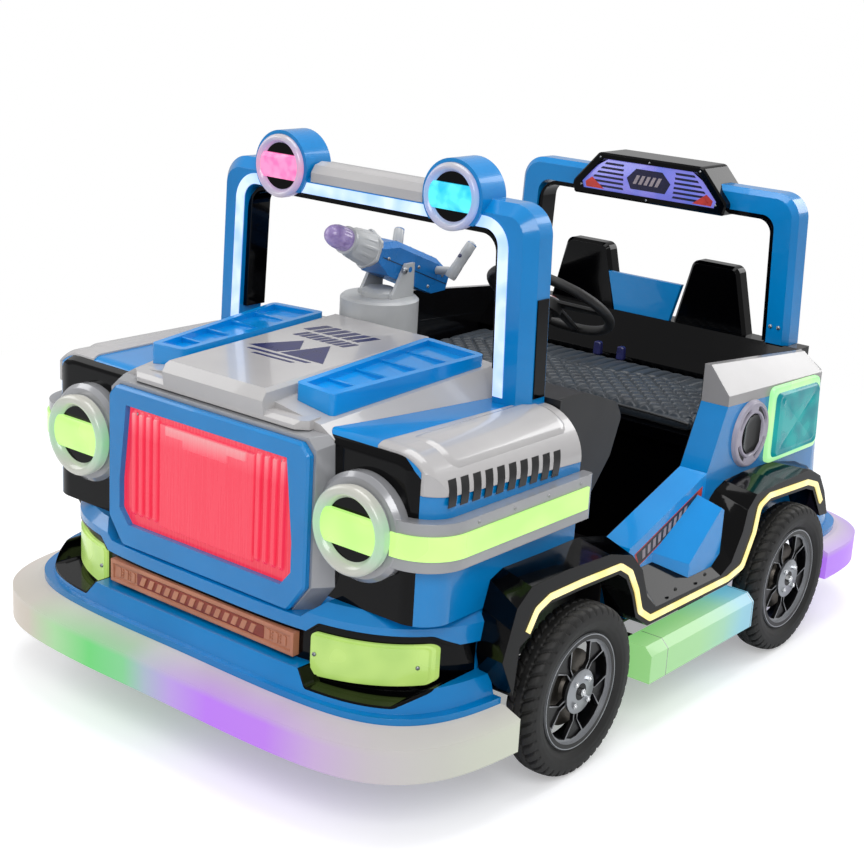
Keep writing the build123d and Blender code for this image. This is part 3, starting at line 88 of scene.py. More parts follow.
def linear(hex_code):
    """sRGB hex code turned to linear RGBA: powers of 2.4 above the small straight part."""
    rgb = np.array([int(hex_code[i:i + 2], 16) for i in (1, 3, 5)]) / 255.0
    low = rgb / 12.92
    high = ((rgb + 0.055) / 1.055) ** 2.4
    return (*np.where(rgb <= 0.04045, low, high).tolist(), 1.0)


def set_stops(elements, stops):
    """Puts (position, hex) stops into a colour ramp."""
    while len(elements) < len(stops):
        elements.new(0.5)
    for element, (position, colour) in zip(elements, stops):
        element.position = position
        element.color = linear(colour)


def add_node(tree, kind, output=None, fields=None):
    """Adds one node and returns its output, or the node where no output is named. A field is
    an attribute, an input by name or number, or the stops of a ramp. A socket is linked to its
    input, and anything else is set."""
    node = tree.nodes.new("ShaderNode" + kind)
    for key, value in (fields or {}).items():
        if key == "stops":
            set_stops(node.color_ramp.elements, value)
        elif not isinstance(key, int) and key not in node.inputs:
            setattr(node, key, value)
        elif isinstance(value, bpy.types.NodeSocket):
            tree.links.new(value, node.inputs[key])
        else:
            node.inputs[key].default_value = value
    return node if output is None else node.outputs[output]


def new_material(name, *noises):
    """Material with an empty tree, its object coordinates and noise patterns, each given by
    the size of its blotches in millimetres and its detail."""
    material = bpy.data.materials.new(name)
    material.use_nodes = True
    tree = material.node_tree
    tree.nodes.clear()
    place = add_node(tree, "TexCoord", "Object")
    patterns = [add_node(tree, "TexNoise", "Fac",
                         {"Vector": place, "Scale": 1.0 / (size_mm * MM), "Detail": detail})
                for size_mm, detail in noises]
    return material, tree, place, *patterns


def finish_material(material, tree, edge_mm, gloss, relief, fields):
    """Adds the shader with its fields and the output. gloss is a pattern with the roughness
    at its low and its high end, relief is a pattern with its height in millimetres and its
    strength. Corners are shaded as if rounded to edge_mm, as a moulded or painted edge is."""
    pattern, smooth, rough = gloss
    height, depth_mm, strength = relief
    bump = {"Height": height, "Distance": depth_mm * MM, "Strength": strength}
    if edge_mm:
        bump["Normal"] = add_node(tree, "Bevel", 0, {"samples": 4, "Radius": edge_mm * MM})
    roughness = add_node(tree, "MapRange", 0,
                         {"Value": pattern, "To Min": smooth, "To Max": rough})
    normal = add_node(tree, "Bump", 0, bump)
    shader = add_node(tree, "BsdfPrincipled", 0,
                      {**fields, "Roughness": roughness, "Normal": normal})
    add_node(tree, "OutputMaterial", None, {"Surface": shader})
    return material


# Materials

# Half width of the cab between the blue outer faces, where the liner is painted black
LINER_HALF = 521.5
# Middles of the round lamps above the floor, and how far their rims reach from them
HEADLAMP_Z, HEADLAMP_REACH = 629.0, 97.0
POD_Z, POD_REACH = 1247.0, 76.0


def gelcoat(name, base, shade, flake=0.0, lined=False, sheen=1.0, polish=0.16):
    """Gelcoat over glass fibre, sprayed and polished: a deep gloss with a faint orange peel,
    slow tone drift across the moulding and thin dust that dulls it here and there. A lined
    moulding is black on the inside, where the cab's liner is painted."""
    # Orange peel is about 3 mm across; it is drawn at 12 mm so that it shows as soft ripples.
    material, tree, place, drift, dust, peel = new_material(
        name, (260.0, 3.0), (45.0, 6.0), (12.0, 1.0))
    colour = add_node(tree, "ValToRGB", "Color",
                      {"Fac": drift, "stops": [(0.3, shade), (0.7, base)]})
    if lined:
        x = add_node(tree, "SeparateXYZ", "X", {"Vector": place})
        across = add_node(tree, "Math", 0, {"operation": "ABSOLUTE", 0: x})
        outside = add_node(tree, "Math", 0,
                           {"operation": "GREATER_THAN", 0: across, 1: LINER_HALF * MM})
        colour = add_node(tree, "Mix", 2, {"data_type": "RGBA", "Factor": outside,
                                           6: linear("#0A0A0C"), 7: colour})
    return finish_material(
        material, tree, 2.0, (dust, polish, polish + 0.1), (peel, 0.05, 0.6),
        {"Base Color": colour, "Metallic": flake, "IOR": 1.5,
         "Specular IOR Level": 0.5 * sheen, "Coat Weight": 0.6 * sheen,
         "Coat Roughness": 0.03})


def moulded_plastic(name, base, shade, roughness, grain_mm=1.6, grain_depth=0.12):
    """Injection-moulded ABS with a fine leather grain: soft broken highlights, a little dust
    in the hollows of the grain."""
    material, tree, place, drift = new_material(name, (90.0, 4.0))
    grain = add_node(tree, "TexVoronoi", "Distance",
                     {"Vector": place, "Scale": 1.0 / (grain_mm * MM)})
    colour = add_node(tree, "ValToRGB", "Color",
                      {"Fac": drift, "stops": [(0.3, shade), (0.7, base)]})
    return finish_material(
        material, tree, 1.2, (drift, roughness - 0.06, roughness + 0.08),
        (grain, grain_depth, 0.6), {"Base Color": colour})


def painted_steel(name, base, worn):
    """Stove-enamelled steel: satin paint with scuffs through to grey primer."""
    material, tree, _, scuff = new_material(name, (28.0, 9.0))
    colour = add_node(tree, "ValToRGB", "Color",
                      {"Fac": scuff, "stops": [(0.0, base), (0.66, base), (0.72, worn)]})
    return finish_material(material, tree, 1.0, (scuff, 0.32, 0.55), (scuff, 0.15, 0.4),
                           {"Base Color": colour})


def bright_metal(name, base, roughness, scratch_mm=4.0):
    """Zinc-plated, chromed or turned metal: fine scratches that spread the highlight."""
    material, tree, _, scratch = new_material(name, (scratch_mm, 8.0))
    return finish_material(
        material, tree, 0.6, (scratch, roughness, roughness + 0.14), (scratch, 0.04, 0.4),
        {"Base Color": linear(base), "Metallic": 1.0})


def printed_film(name, base, shade):
    """Printed vinyl film stuck on the gelcoat: even colour, slightly less gloss than the
    paint round it, tiny ripples from being pressed down."""
    material, tree, _, ripple = new_material(name, (25.0, 2.0))
    colour = add_node(tree, "ValToRGB", "Color",
                      {"Fac": ripple, "stops": [(0.3, shade), (0.7, base)]})
    return finish_material(material, tree, 0.0, (ripple, 0.24, 0.34), (ripple, 0.06, 0.5),
                           {"Base Color": colour})


def lit_acrylic(name, glow, shade, strength, blotch_mm=60.0, gloss=1.0):
    """Milky acrylic with lamps behind it: its own soft light, a little brighter over each
    lamp, under a clear gloss. Its body is dark, so that light on it doesn't wash it out."""
    material, tree, _, cloud, ripple = new_material(name, (blotch_mm, 1.0), (14.0, 1.0))
    light = add_node(tree, "ValToRGB", "Color",
                     {"Fac": cloud, "stops": [(0.35, shade), (0.62, glow)]})
    body = np.array(linear(shade)) * 0.35
    return finish_material(
        material, tree, 2.0, (cloud, 0.22, 0.32), (ripple, 0.05, 0.4),
        {"Base Color": (*body[:3], 1.0), "Emission Color": light,
         "Emission Strength": strength, "Coat Weight": 0.4 * gloss,
         "Specular IOR Level": 0.5 * gloss})


def side_box_glow(name, strength):
    """Milky plastic lit from inside: green at the front and blue at the rear end, with a
    boundary that wanders a little."""
    front, rear, sway = -0.2, 0.29, 0.06
    material, tree, place, wander, ripple = new_material(name, (120.0, 1.0), (18.0, 1.0))
    y = add_node(tree, "SeparateXYZ", "Y", {"Vector": place})
    along = add_node(tree, "MapRange", 0, {"Value": y, "From Min": front, "From Max": rear})
    off = add_node(tree, "Math", 0,
                   {"operation": "MULTIPLY_ADD", 0: wander, 1: sway, 2: -sway / 2})
    along = add_node(tree, "Math", 0, {"operation": "ADD", 0: along, 1: off})
    stops = [(0.0, "#93E27E"), (0.45, "#98E38C"), (0.7, "#8FDCB4"), (0.88, "#74CFE6"),
             (1.0, "#6CC6E8")]
    light = add_node(tree, "ValToRGB", "Color", {"Fac": along, "stops": stops})
    return finish_material(
        material, tree, 2.0, (wander, 0.3, 0.36), (ripple, 0.08, 0.4),
        {"Base Color": linear("#6E6E6A"), "Emission Color": light,
         "Emission Strength": strength, "Coat Weight": 0.3})


def ring_glow(name, stops, z_mm, reach_mm, strength):
    """Rim of a round lamp: milky acrylic that takes the band's colour beside it and pales
    towards its top and its foot."""
    material, tree, place, cloud = new_material(name, (30.0, 2.0))
    z = add_node(tree, "SeparateXYZ", "Z", {"Vector": place})
    above = add_node(tree, "Math", 0, {"operation": "SUBTRACT", 0: z, 1: z_mm * MM})
    away = add_node(tree, "Math", 0, {"operation": "ABSOLUTE", 0: above})
    share = add_node(tree, "MapRange", 0, {"Value": away, "From Max": reach_mm * MM})
    light = add_node(tree, "ValToRGB", "Color", {"Fac": share, "stops": stops})
    return finish_material(
        material, tree, 2.0, (cloud, 0.2, 0.3), (cloud, 0.06, 0.4),
        {"Base Color": linear("#8C8A86"), "Emission Color": light,
         "Emission Strength": strength, "Coat Weight": 0.6})


def grille_acrylic(name, strength):
    """Red moulded acrylic grille lit from behind: deep red between the ribs. A painted highlight
    makes it paler where a rib or the crest stands nearer, most towards the top, with streaks down
    the ribs."""
    low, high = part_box("grille_lens")
    sheet, head, foot = low[1] + 0.0115, high[2] - 0.005, high[2] - 0.07
    material, tree, place = new_material(name)
    drawn = add_node(tree, "Mapping", 0, {"Vector": place, "Scale": (1.0, 1.0, 0.05)})
    streak = add_node(tree, "TexNoise", "Fac",
                      {"Vector": drawn, "Scale": 1.0 / (7.0 * MM), "Detail": 3.0})
    split = add_node(tree, "SeparateXYZ", None, {"Vector": place}).outputs
    proud = add_node(tree, "MapRange", 0, {"Value": split["Y"], "From Min": low[1],
                                           "From Max": sheet, "To Min": 1.0, "To Max": 0.0})
    # Painted highlight: the red glow pales on the proud ribs and crest, more towards the top edge,
    # and in faint streaks down the ribs.
    top = add_node(tree, "MapRange", 0, {"Value": split["Z"], "From Min": foot,
                                         "From Max": head})
    top = add_node(tree, "Math", 0, {"operation": "ADD", 0: top, 1: 0.22})
    streak_highlight = add_node(tree, "Math", 0, {"operation": "MULTIPLY", 0: streak, 1: 0.18})
    pale = add_node(tree, "Math", 0, {"operation": "MULTIPLY_ADD", 0: proud, 1: top, 2: streak_highlight})
    stops = [(0.03, "#E81F3C"), (0.2, "#FA3350"), (0.55, "#FF6072"), (1.0, "#F6A2A6")]
    light = add_node(tree, "ValToRGB", "Color", {"Fac": pale, "stops": stops})
    return finish_material(
        material, tree, 2.0, (streak, 0.2, 0.34), (streak, 0.3, 0.5),
        {"Base Color": linear("#5C0E1A"), "Emission Color": light,
         "Emission Strength": strength, "Coat Weight": 0.4})


def bumper_glow(name, strength):
    """Rotomoulded milky polyethylene with strings of coloured lamps inside: the colour shows
    on the upright face and runs from lamp to lamp, the bevel above stays pale grey."""
    half_width, rear_from, bevel_foot, bevel_head = 0.72, 0.2, 0.204, 0.24
    material, tree, place, cloud, ripple = new_material(name, (160.0, 2.0), (20.0, 1.0))
    split = add_node(tree, "SeparateXYZ", None, {"Vector": place}).outputs
    across = add_node(tree, "MapRange", 0, {"Value": split["X"], "From Min": -half_width,
                                            "From Max": half_width})
    stops = [(0.0, "#CDBFB8"), (0.17, "#C9C0B2"), (0.25, "#A0DC9A"), (0.34, "#42D860"),
             (0.42, "#68D486"), (0.47, "#A0B6CC"), (0.53, "#B892EE"), (0.61, "#B95FFF"),
             (0.73, "#BC68FA"), (0.82, "#C7A6DE"), (0.9, "#C4BBC6"), (0.97, "#C4C5BD"),
             (1.0, "#CCD3BE")]
    front = add_node(tree, "ValToRGB", "Color", {"Fac": across, "stops": stops})
    stops = [(0.0, "#B06AFF"), (0.2, "#A98CF0"), (0.42, "#8FC6F0"), (0.55, "#7FE3B0"),
             (0.78, "#A98CF0"), (1.0, "#B56CFF")]
    rear = add_node(tree, "ValToRGB", "Color", {"Fac": across, "stops": stops})
    behind = add_node(tree, "Math", 0,
                      {"operation": "GREATER_THAN", 0: split["Y"], 1: rear_from})
    lit = add_node(tree, "Mix", 2, {"data_type": "RGBA", "Factor": behind, 6: front, 7: rear})
    stops = [(0.3, "#BDBAB5"), (0.7, "#C9C7C2")]
    top = add_node(tree, "ValToRGB", "Color", {"Fac": cloud, "stops": stops})
    bevel = add_node(tree, "MapRange", 0, {"Value": split["Z"], "From Min": bevel_foot,
                                           "From Max": bevel_head, "To Max": 0.84})
    haze = add_node(tree, "Mix", 2, {"data_type": "RGBA", "Factor": bevel, 6: lit, 7: top})
    return finish_material(
        material, tree, 3.0, (cloud, 0.36, 0.46), (ripple, 0.1, 0.4),
        {"Base Color": linear("#5C5A56"), "Emission Color": haze,
         "Emission Strength": strength})


def tyre_rubber(name):
    """Vulcanised rubber: near black, dry sheen, road dust in the grooves."""
    material, tree, _, dust, grain = new_material(name, (22.0, 6.0), (3.0, 4.0))
    colour = add_node(tree, "ValToRGB", "Color",
                      {"Fac": dust, "stops": [(0.4, "#080808"), (0.75, "#151412")]})
    return finish_material(material, tree, 0.0, (dust, 0.5, 0.7), (grain, 0.15, 0.5),
                           {"Base Color": colour})


def cut_alloy(name):
    """Cast aluminium wheel in black paint, with its thin outer lands and its hub turned
    bright. The lands lie between the spokes' plane and the hub's face."""
    spoke_plane, hub_face = 0.6995, 0.7092
    material, tree, place, scratch = new_material(name, (3.0, 8.0))
    x = add_node(tree, "SeparateXYZ", "X", {"Vector": place})
    across = add_node(tree, "Math", 0, {"operation": "ABSOLUTE", 0: x})
    outer = add_node(tree, "Math", 0, {"operation": "GREATER_THAN", 0: across, 1: spoke_plane})
    inner = add_node(tree, "Math", 0, {"operation": "LESS_THAN", 0: across, 1: hub_face})
    land = add_node(tree, "Math", 0, {"operation": "MULTIPLY", 0: outer, 1: inner})
    colour = add_node(tree, "ValToRGB", "Color",
                      {"Fac": land, "stops": [(0.0, "#0C0C0E"), (1.0, "#8E9094")]})
    return finish_material(material, tree, 0.5, (scratch, 0.26, 0.42), (scratch, 0.03, 0.4),
                           {"Base Color": colour, "Metallic": 0.25})


def vinyl(name, base, shade):
    """Vinyl-coated cloth over foam: pebbled grain and a soft sheen."""
    pebble_mm = 2.2
    material, tree, place, drift = new_material(name, (60.0, 4.0))
    pebble = add_node(tree, "TexVoronoi", "Distance",
                      {"Vector": place, "Scale": 1.0 / (pebble_mm * MM)})
    colour = add_node(tree, "ValToRGB", "Color",
                      {"Fac": drift, "stops": [(0.3, shade), (0.7, base)]})
    return finish_material(material, tree, 0.0, (drift, 0.34, 0.46), (pebble, 0.12, 0.4),
                           {"Base Color": colour, "Sheen Weight": 0.1})


def clear_dome(name):
    """Violet-tinted clear polycarbonate with a lamp behind: a quarter of the light passes."""
    material, tree, _, cloud = new_material(name, (18.0, 2.0))
    colour = add_node(tree, "ValToRGB", "Color",
                      {"Fac": cloud, "stops": [(0.3, "#7F6C9C"), (0.7, "#A391BC")]})
    return finish_material(
        material, tree, 0.8, (cloud, 0.12, 0.2), (cloud, 0.05, 0.3),
        {"Base Color": colour, "Emission Color": colour, "Emission Strength": 0.3,
         "Transmission Weight": 0.25})


def make_finishes(glow):
    """Every material of the car, by its plain name. glow is the share of the lit parts'
    brightness."""
    lime_rim = [(0.0, "#86D992"), (0.35, "#93CFA0"), (0.75, "#A9B2A2"), (1.0, "#B4B3A8")]
    pink_rim = [(0.0, "#E87FC4"), (0.4, "#C58FD0"), (0.75, "#9C93C8"), (1.0, "#B9A9B4")]
    blue_rim = [(0.0, "#4FA8F0"), (0.4, "#6C96EE"), (0.75, "#8E95CC"), (1.0, "#A7A9B8")]
    return {
        "blue": gelcoat("blue_gelcoat", "#0080C6", "#0074B6", sheen=0.7),
        "lined_blue": gelcoat("blue_gelcoat_lined", "#0080C6", "#0074B6", lined=True, sheen=0.7),
        # Painted highlight: the hood vents are the same blue gelcoat, drawn lighter for the light
        # their upturned faces catch.
        "blue_painted_highlight": gelcoat("blue_gelcoat_painted_highlight", "#008EDA", "#0080CA", sheen=0.7),
        # Painted highlight: the entry braces are the same lined blue gelcoat, drawn lighter for the
        # light their sloping faces catch.
        "lined_blue_painted_highlight": gelcoat("blue_gelcoat_lined_painted_highlight", "#0092DE", "#0084D0", lined=True,
                               sheen=0.7),
        "pearl": gelcoat("pearl_gelcoat", "#B1AFAF", "#A4A2A3"),
        # Painted shade: the rear cap is the same pearl gelcoat, drawn darker and with less sheen so
        # that its sloping face under the lamps doesn't glare.
        "lined_pearl_painted_shade": gelcoat("pearl_gelcoat_lined_painted_shade", "#989696", "#8D8B8C", lined=True,
                               sheen=0.6),
        "silver": gelcoat("silver_gelcoat", "#9A9B9E", "#8B8C90", 0.2),
        "black": gelcoat("black_gelcoat", "#020203", "#010102", sheen=0.22, polish=0.05),
        "dash": moulded_plastic("grained_black_abs", "#0D0D0F", "#09090A", 0.42),
        "dark_grey": moulded_plastic("grained_grey_abs", "#34343A", "#2C2C30", 0.5),
        "speaker": moulded_plastic("speaker_ring_abs", "#A49FAE", "#928D9C", 0.3, 3.0, 0.04),
        "gun_blue": moulded_plastic("blue_abs", "#0872BE", "#0668AE", 0.26, 4.0, 0.03),
        "gun_white": moulded_plastic("white_abs", "#B9BBBC", "#A9ABAD", 0.3, 4.0, 0.03),
        "gun_dome": clear_dome("violet_clear_dome"),
        "copper": moulded_plastic("copper_painted_abs", "#C08062", "#A86A4E", 0.34, 2.0, 0.06),
        "red_field": moulded_plastic("red_painted_abs", "#8E3A2A", "#7A3023", 0.4, 2.0, 0.08),
        "steel": painted_steel("black_enamelled_steel", "#0F0F10", "#3C3C3E"),
        "zinc": bright_metal("zinc_plated_steel", "#9FA2A6", 0.28),
        "chrome": bright_metal("chromed_steel", "#D8DADC", 0.06),
        "brake": bright_metal("turned_iron", "#6A655F", 0.4, 6.0),
        "alloy": cut_alloy("turned_cast_alloy"),
        "tyre": tyre_rubber("tyre_rubber"),
        "grip": moulded_plastic("grip_rubber", "#0C0C0C", "#080808", 0.5, 1.2, 0.15),
        "seat": vinyl("slate_vinyl", "#1F2A34", "#161E26"),
        "seat_edge": vinyl("black_vinyl", "#101214", "#0B0D0F"),
        "black_film": printed_film("black_printed_film", "#0B0B0D", "#09090B"),
        "navy_film": printed_film("navy_printed_film", "#23265A", "#1D1F4C"),
        "red_film": printed_film("red_printed_film", "#C03A30", "#A83028"),
        "grey_film": printed_film("grey_printed_film", "#9A8F96", "#8C8289"),
        "ring": bumper_glow("lit_bumper_polyethylene", 0.8 * glow),
        "side_box": side_box_glow("lit_side_box", 0.7 * glow),
        "grille": grille_acrylic("lit_red_acrylic", 0.86 * glow),
        "lime": lit_acrylic("lit_lime_acrylic", "#CDFA8E", "#B6F07C", 0.9 * glow, 120.0),
        "corner": lit_acrylic("lit_corner_acrylic", "#C4E57C", "#ABD06A", 0.74 * glow, 90.0),
        "warm": lit_acrylic("lit_warm_strip", "#FFF3B4", "#FBE48A", 0.97 * glow),
        "cool": lit_acrylic("lit_cool_strip", "#DCEBFF", "#A9CBFF", 0.97 * glow),
        "lime_rim": ring_glow("headlamp_rim_acrylic", lime_rim, HEADLAMP_Z, HEADLAMP_REACH,
                              0.62 * glow),
        "pink_rim": ring_glow("pink_pod_rim_acrylic", pink_rim, POD_Z, POD_REACH, 0.62 * glow),
        "blue_rim": ring_glow("blue_pod_rim_acrylic", blue_rim, POD_Z, POD_REACH, 0.62 * glow),
        "magenta": lit_acrylic("lit_magenta_acrylic", "#FF9AC8", "#F55AA8", 0.95 * glow, 30.0),
        "cyan": lit_acrylic("lit_cyan_acrylic", "#5CF2FF", "#18BFE6", 0.95 * glow, 30.0),
        "teal": lit_acrylic("lit_teal_acrylic", "#12A5A2", "#087E88", 0.82 * glow, 70.0,
                            gloss=0.4),
        "tail_rim": lit_acrylic("lit_tail_surround", "#C4F5A8", "#9DEBA0", 0.88 * glow, 120.0),
        "sign": lit_acrylic("lit_sign_print", "#8E86E8", "#6F7BE0", 0.62 * glow, 60.0),
        "sign_ink": printed_film("sign_ink", "#14123A", "#100F30"),
    }


NODE_FINISH = {
    "nose_shell": "blue", "front_wings": "blue", "hood_vents": "blue_painted_highlight", "windscreen_frame": "blue",
    "roll_bar": "blue", "rear_quarters": "lined_blue", "tail_shell": "blue",
    "entry_braces": "lined_blue_painted_highlight", "seat_back_panel": "blue", "grille_bezel": "blue",
    "wing_shoulders": "pearl", "rear_cap": "lined_pearl_painted_shade", "top_bar_cover": "pearl",
    "hood_panel": "pearl", "gun_pedestal": "gun_white", "gun_yoke": "gun_white",
    "gun_body": "gun_blue", "grille_frame": "silver", "headlamp_housings": "silver",
    "fender_flares": "black", "lamp_bays": "black", "nose_inlay": "black",
    "windscreen_liner": "black", "roll_bar_liner": "black", "sign_box": "black",
    "seat_base": "black", "seat_back": "black", "dashboard": "dash", "floor_pan": "dash",
    "headlamp_rings": "lime_rim", "pod_lamps": "pink_rim", "grille_lens": "grille",
    "side_bar_lenses": "lime", "corner_lamps": "corner", "tail_lamps": "teal",
    "fender_led_strips": "warm", "windscreen_led": "cool", "front_bumper": "ring",
    "rear_bumper": "ring", "side_light_boxes": "side_box", "front_plate": "copper",
    "speakers": "speaker", "chassis_frame": "steel", "steering_column": "steel",
    "rear_axle": "steel", "front_axle": "steel", "knuckle_left": "zinc",
    "knuckle_right": "zinc", "tie_rod": "zinc", "battery_pack": "dark_grey",
    "seat_cushion": "seat", "steering_wheel": "grip",
}
# The material of each finish, which new pieces take into their slot.
FINISH = {}


# Mesh tools: a part is its points and a list of arrays of faces


def grid_faces(rows, columns, wrap_rows=False, wrap_columns=False):
    """Quads between neighbours on a rows by columns grid, wrapped round where asked."""
    r = np.arange(rows if wrap_rows else rows - 1)
    c = np.arange(columns if wrap_columns else columns - 1)
    r, c = np.meshgrid(r, c, indexing="ij")
    r2, c2 = (r + 1) % rows, (c + 1) % columns
    corners = [r * columns + c, r2 * columns + c, r2 * columns + c2, r * columns + c2]
    return np.stack([v.ravel() for v in corners], axis=1)


def new_mesh(name, part):
    """Mesh in metres from a part, with doubles merged and faces turned outwards."""
    points, faces = part
    points = np.asarray(points, float) * MM + [0.0, FRONT_TIP, 0.0]
    rows = [row for array in faces for row in array.tolist()]
    mesh = bpy.data.meshes.new(name)
    mesh.from_pydata(points.tolist(), [], rows)
    work = bmesh.new()
    work.from_mesh(mesh)
    bmesh.ops.remove_doubles(work, verts=work.verts, dist=1e-6)
    bmesh.ops.dissolve_degenerate(work, edges=work.edges, dist=1e-7)
    bmesh.ops.recalc_face_normals(work, faces=work.faces)
    work.to_mesh(mesh)
    work.free()
    return mesh


def make_piece(name, part, finish, body=BODY, replaces=(), sharp=40.0):
    """Object from a part, with its finish and slot, riding on a body."""
    mesh = new_mesh(name, part)
    obj = bpy.data.objects.new(name, mesh)
    bpy.context.scene.collection.objects.link(obj)
    mesh.materials.append(FINISH[finish])
    mesh.shade_smooth()
    mesh.set_sharp_from_angle(angle=math.radians(sharp))
    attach(obj, body)
    if replaces:
        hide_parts(*replaces)
    return obj


def merged(parts):
    """Joins parts into one."""
    points, faces, start = [], [], 0
    for vertices, arrays in parts:
        points.append(np.asarray(vertices, float))
        faces += [array + start for array in arrays]
        start += len(vertices)
    return np.concatenate(points), faces


def mirrored(part):
    """The same shape on the other side of the car."""
    points, faces = part
    return np.asarray(points) * [-1.0, 1.0, 1.0], [array[:, ::-1] for array in faces]


def pair(part):
    return merged([part, mirrored(part)])


def lathe(profile, centre, axis, steps=64, lobes=None):
    """Surface of revolution: each (along, radius) point of a closed profile is turned about
    the axis through centre. lobes(along, radius, angle) may change the radius."""
    profile = np.asarray(profile, float)
    angle = np.linspace(0.0, 2 * np.pi, steps, endpoint=False)[None, :]
    along = np.repeat(profile[:, :1], steps, axis=1)
    radius = profile[:, 1:] + 0.0 * angle
    if lobes is not None:
        radius = lobes(along, radius, angle)
    first, second = radius * np.cos(angle), radius * np.sin(angle)
    order = {"X": (along, first, second), "Y": (first, along, second),
             "Z": (first, second, along)}[axis]
    points = np.stack(order, axis=-1).reshape(-1, 3) + np.asarray(centre, float)
    return points, [grid_faces(len(profile), steps, True, True)]


def closed_sheet(front, back):
    """Two grids of points joined round their border into a closed shell."""
    rows, columns = front.shape[:2]
    count = rows * columns
    points = np.concatenate([front.reshape(-1, 3), back.reshape(-1, 3)])
    faces = grid_faces(rows, columns)
    index = np.arange(count).reshape(rows, columns)
    border = np.concatenate([index[:, 0], index[-1, 1:], index[-2::-1, -1], index[0, -2:0:-1]])
    following = np.roll(border, -1)
    wall = np.stack([border, following, following + count, border + count], axis=1)
    return points, [faces, faces[:, ::-1] + count, wall]


def drawn_in(outline, by):
    """Closed outline with every edge moved inwards by the same distance."""
    edge = np.roll(outline, -1, axis=0) - outline
    normal = np.column_stack([-edge[:, 1], edge[:, 0]])
    normal /= np.linalg.norm(edge, axis=1)[:, None]
    before = np.roll(normal, 1, axis=0)
    reach = by / (1 + (normal * before).sum(axis=1))
    return outline + reach[:, None] * (normal + before)


def rounded(outline, radius, steps=5):
    """Outline whose corners are curves: each runs from a point radius before the corner to
    one radius after it, as (1-t)^2 a + 2t(1-t) corner + t^2 b."""
    corner = np.asarray(outline, float)
    to_last = np.roll(corner, 1, axis=0) - corner
    to_next = np.roll(corner, -1, axis=0) - corner
    first = corner + radius * to_last / np.linalg.norm(to_last, axis=1)[:, None]
    last = corner + radius * to_next / np.linalg.norm(to_next, axis=1)[:, None]
    t = np.linspace(0.0, 1.0, steps)[None, :, None]
    curve = (1 - t) ** 2 * first[:, None] + 2 * t * (1 - t) * corner[:, None]
    return (curve + t ** 2 * last[:, None]).reshape(-1, 2)


def raised(outline, levels, where):
    """Solid between levels of a closed outline: each level is the outline drawn in by an
    inset, at a height. Both ends close with a fan to the middle. where(u, v, w) places it."""
    outline = np.asarray(outline, float)
    following = np.roll(outline, -1, axis=0)
    turn = (outline[:, 0] * following[:, 1] - following[:, 0] * outline[:, 1]).sum()
    if turn < 0:
        outline = outline[::-1]
    rings = []
    for inset, height in levels:
        ring = drawn_in(outline, inset)
        rings.append(np.column_stack([ring, np.full(len(ring), float(height))]))
    ends = [np.tile(ring.mean(axis=0), (len(ring), 1)) for ring in (rings[0], rings[-1])]
    grid = np.stack([ends[0], *rings, ends[1]])
    points = where(grid[..., 0], grid[..., 1], grid[..., 2]).reshape(-1, 3)
    return points, [grid_faces(len(rings) + 2, len(outline), False, True)]


def on_front(station):
    """Outlines (x, z) that stand proud of an upright face towards the front."""
    return lambda u, v, w: np.stack([u, station - w, v], axis=-1)


def on_left(x):
    """Outlines (station, z) that stand proud of a left side face."""
    return lambda u, v, w: np.stack([x + w, u, v], axis=-1)


def on_top(z, slope=0.0, start=0.0):
    """Outlines (x, station) on a top face that climbs by slope behind the station start."""
    return lambda u, v, w: np.stack([u, v, z + slope * (v - start) + w], axis=-1)


def symmetric(points):
    """Outline across the car from its left half, given from the middle outwards."""
    return list(points) + [(-x, v) for x, v in reversed(points)]


def circle(radius, steps=24):
    angle = np.linspace(0.0, 2 * np.pi, steps, endpoint=False)
    return radius * np.column_stack([np.cos(angle), np.sin(angle)])


def leaning_bars(start, end, low, high, count, lean, share=0.6):
    """Outlines of equal bars that lean the same way, between start and end."""
    pitch = (end - start - lean) / count
    left = start + pitch * np.arange(count)
    width = share * pitch
    return [[(u, low), (u + width, low), (u + width + lean, high), (u + lean, high)]
            for u in left]


def swept(path, radius, steps=12, closed=False, side=(0.0, 0.0, 1.0)):
    """Tube: circles square to the path's direction, which is the difference of neighbours."""
    path = np.asarray(path, float)
    if closed:
        along = np.roll(path, -1, axis=0) - np.roll(path, 1, axis=0)
    else:
        along = np.gradient(path, axis=0)
    along /= np.linalg.norm(along, axis=1)[:, None]
    first = np.cross(along, side)
    first /= np.linalg.norm(first, axis=1)[:, None]
    second = np.cross(along, first)
    angle = np.linspace(0.0, 2 * np.pi, steps, endpoint=False)[None, :, None]
    around = first[:, None] * np.cos(angle) + second[:, None] * np.sin(angle)
    points = path[:, None] + np.reshape(radius, (-1, 1, 1)) * around
    faces = [grid_faces(len(path), steps, closed, True)]
    if not closed:
        ring = np.arange(steps)[None, :]
        faces += [ring, ring[:, ::-1] + (len(path) - 1) * steps]
    return points.reshape(-1, 3), faces


def turned(part, basis, origin):
    """Part moved so that its x, y and z run along three directions from origin."""
    points, faces = part
    return np.asarray(points) @ np.asarray(basis, float) + np.asarray(origin, float), faces


def tilted(part, degrees, origin):
    """Part tilted about its x axis, its rear end down, and moved to origin."""
    tilt = math.radians(degrees)
    basis = [(1, 0, 0), (0, math.cos(tilt), -math.sin(tilt)), (0, math.sin(tilt), math.cos(tilt))]
    return turned(part, basis, origin)


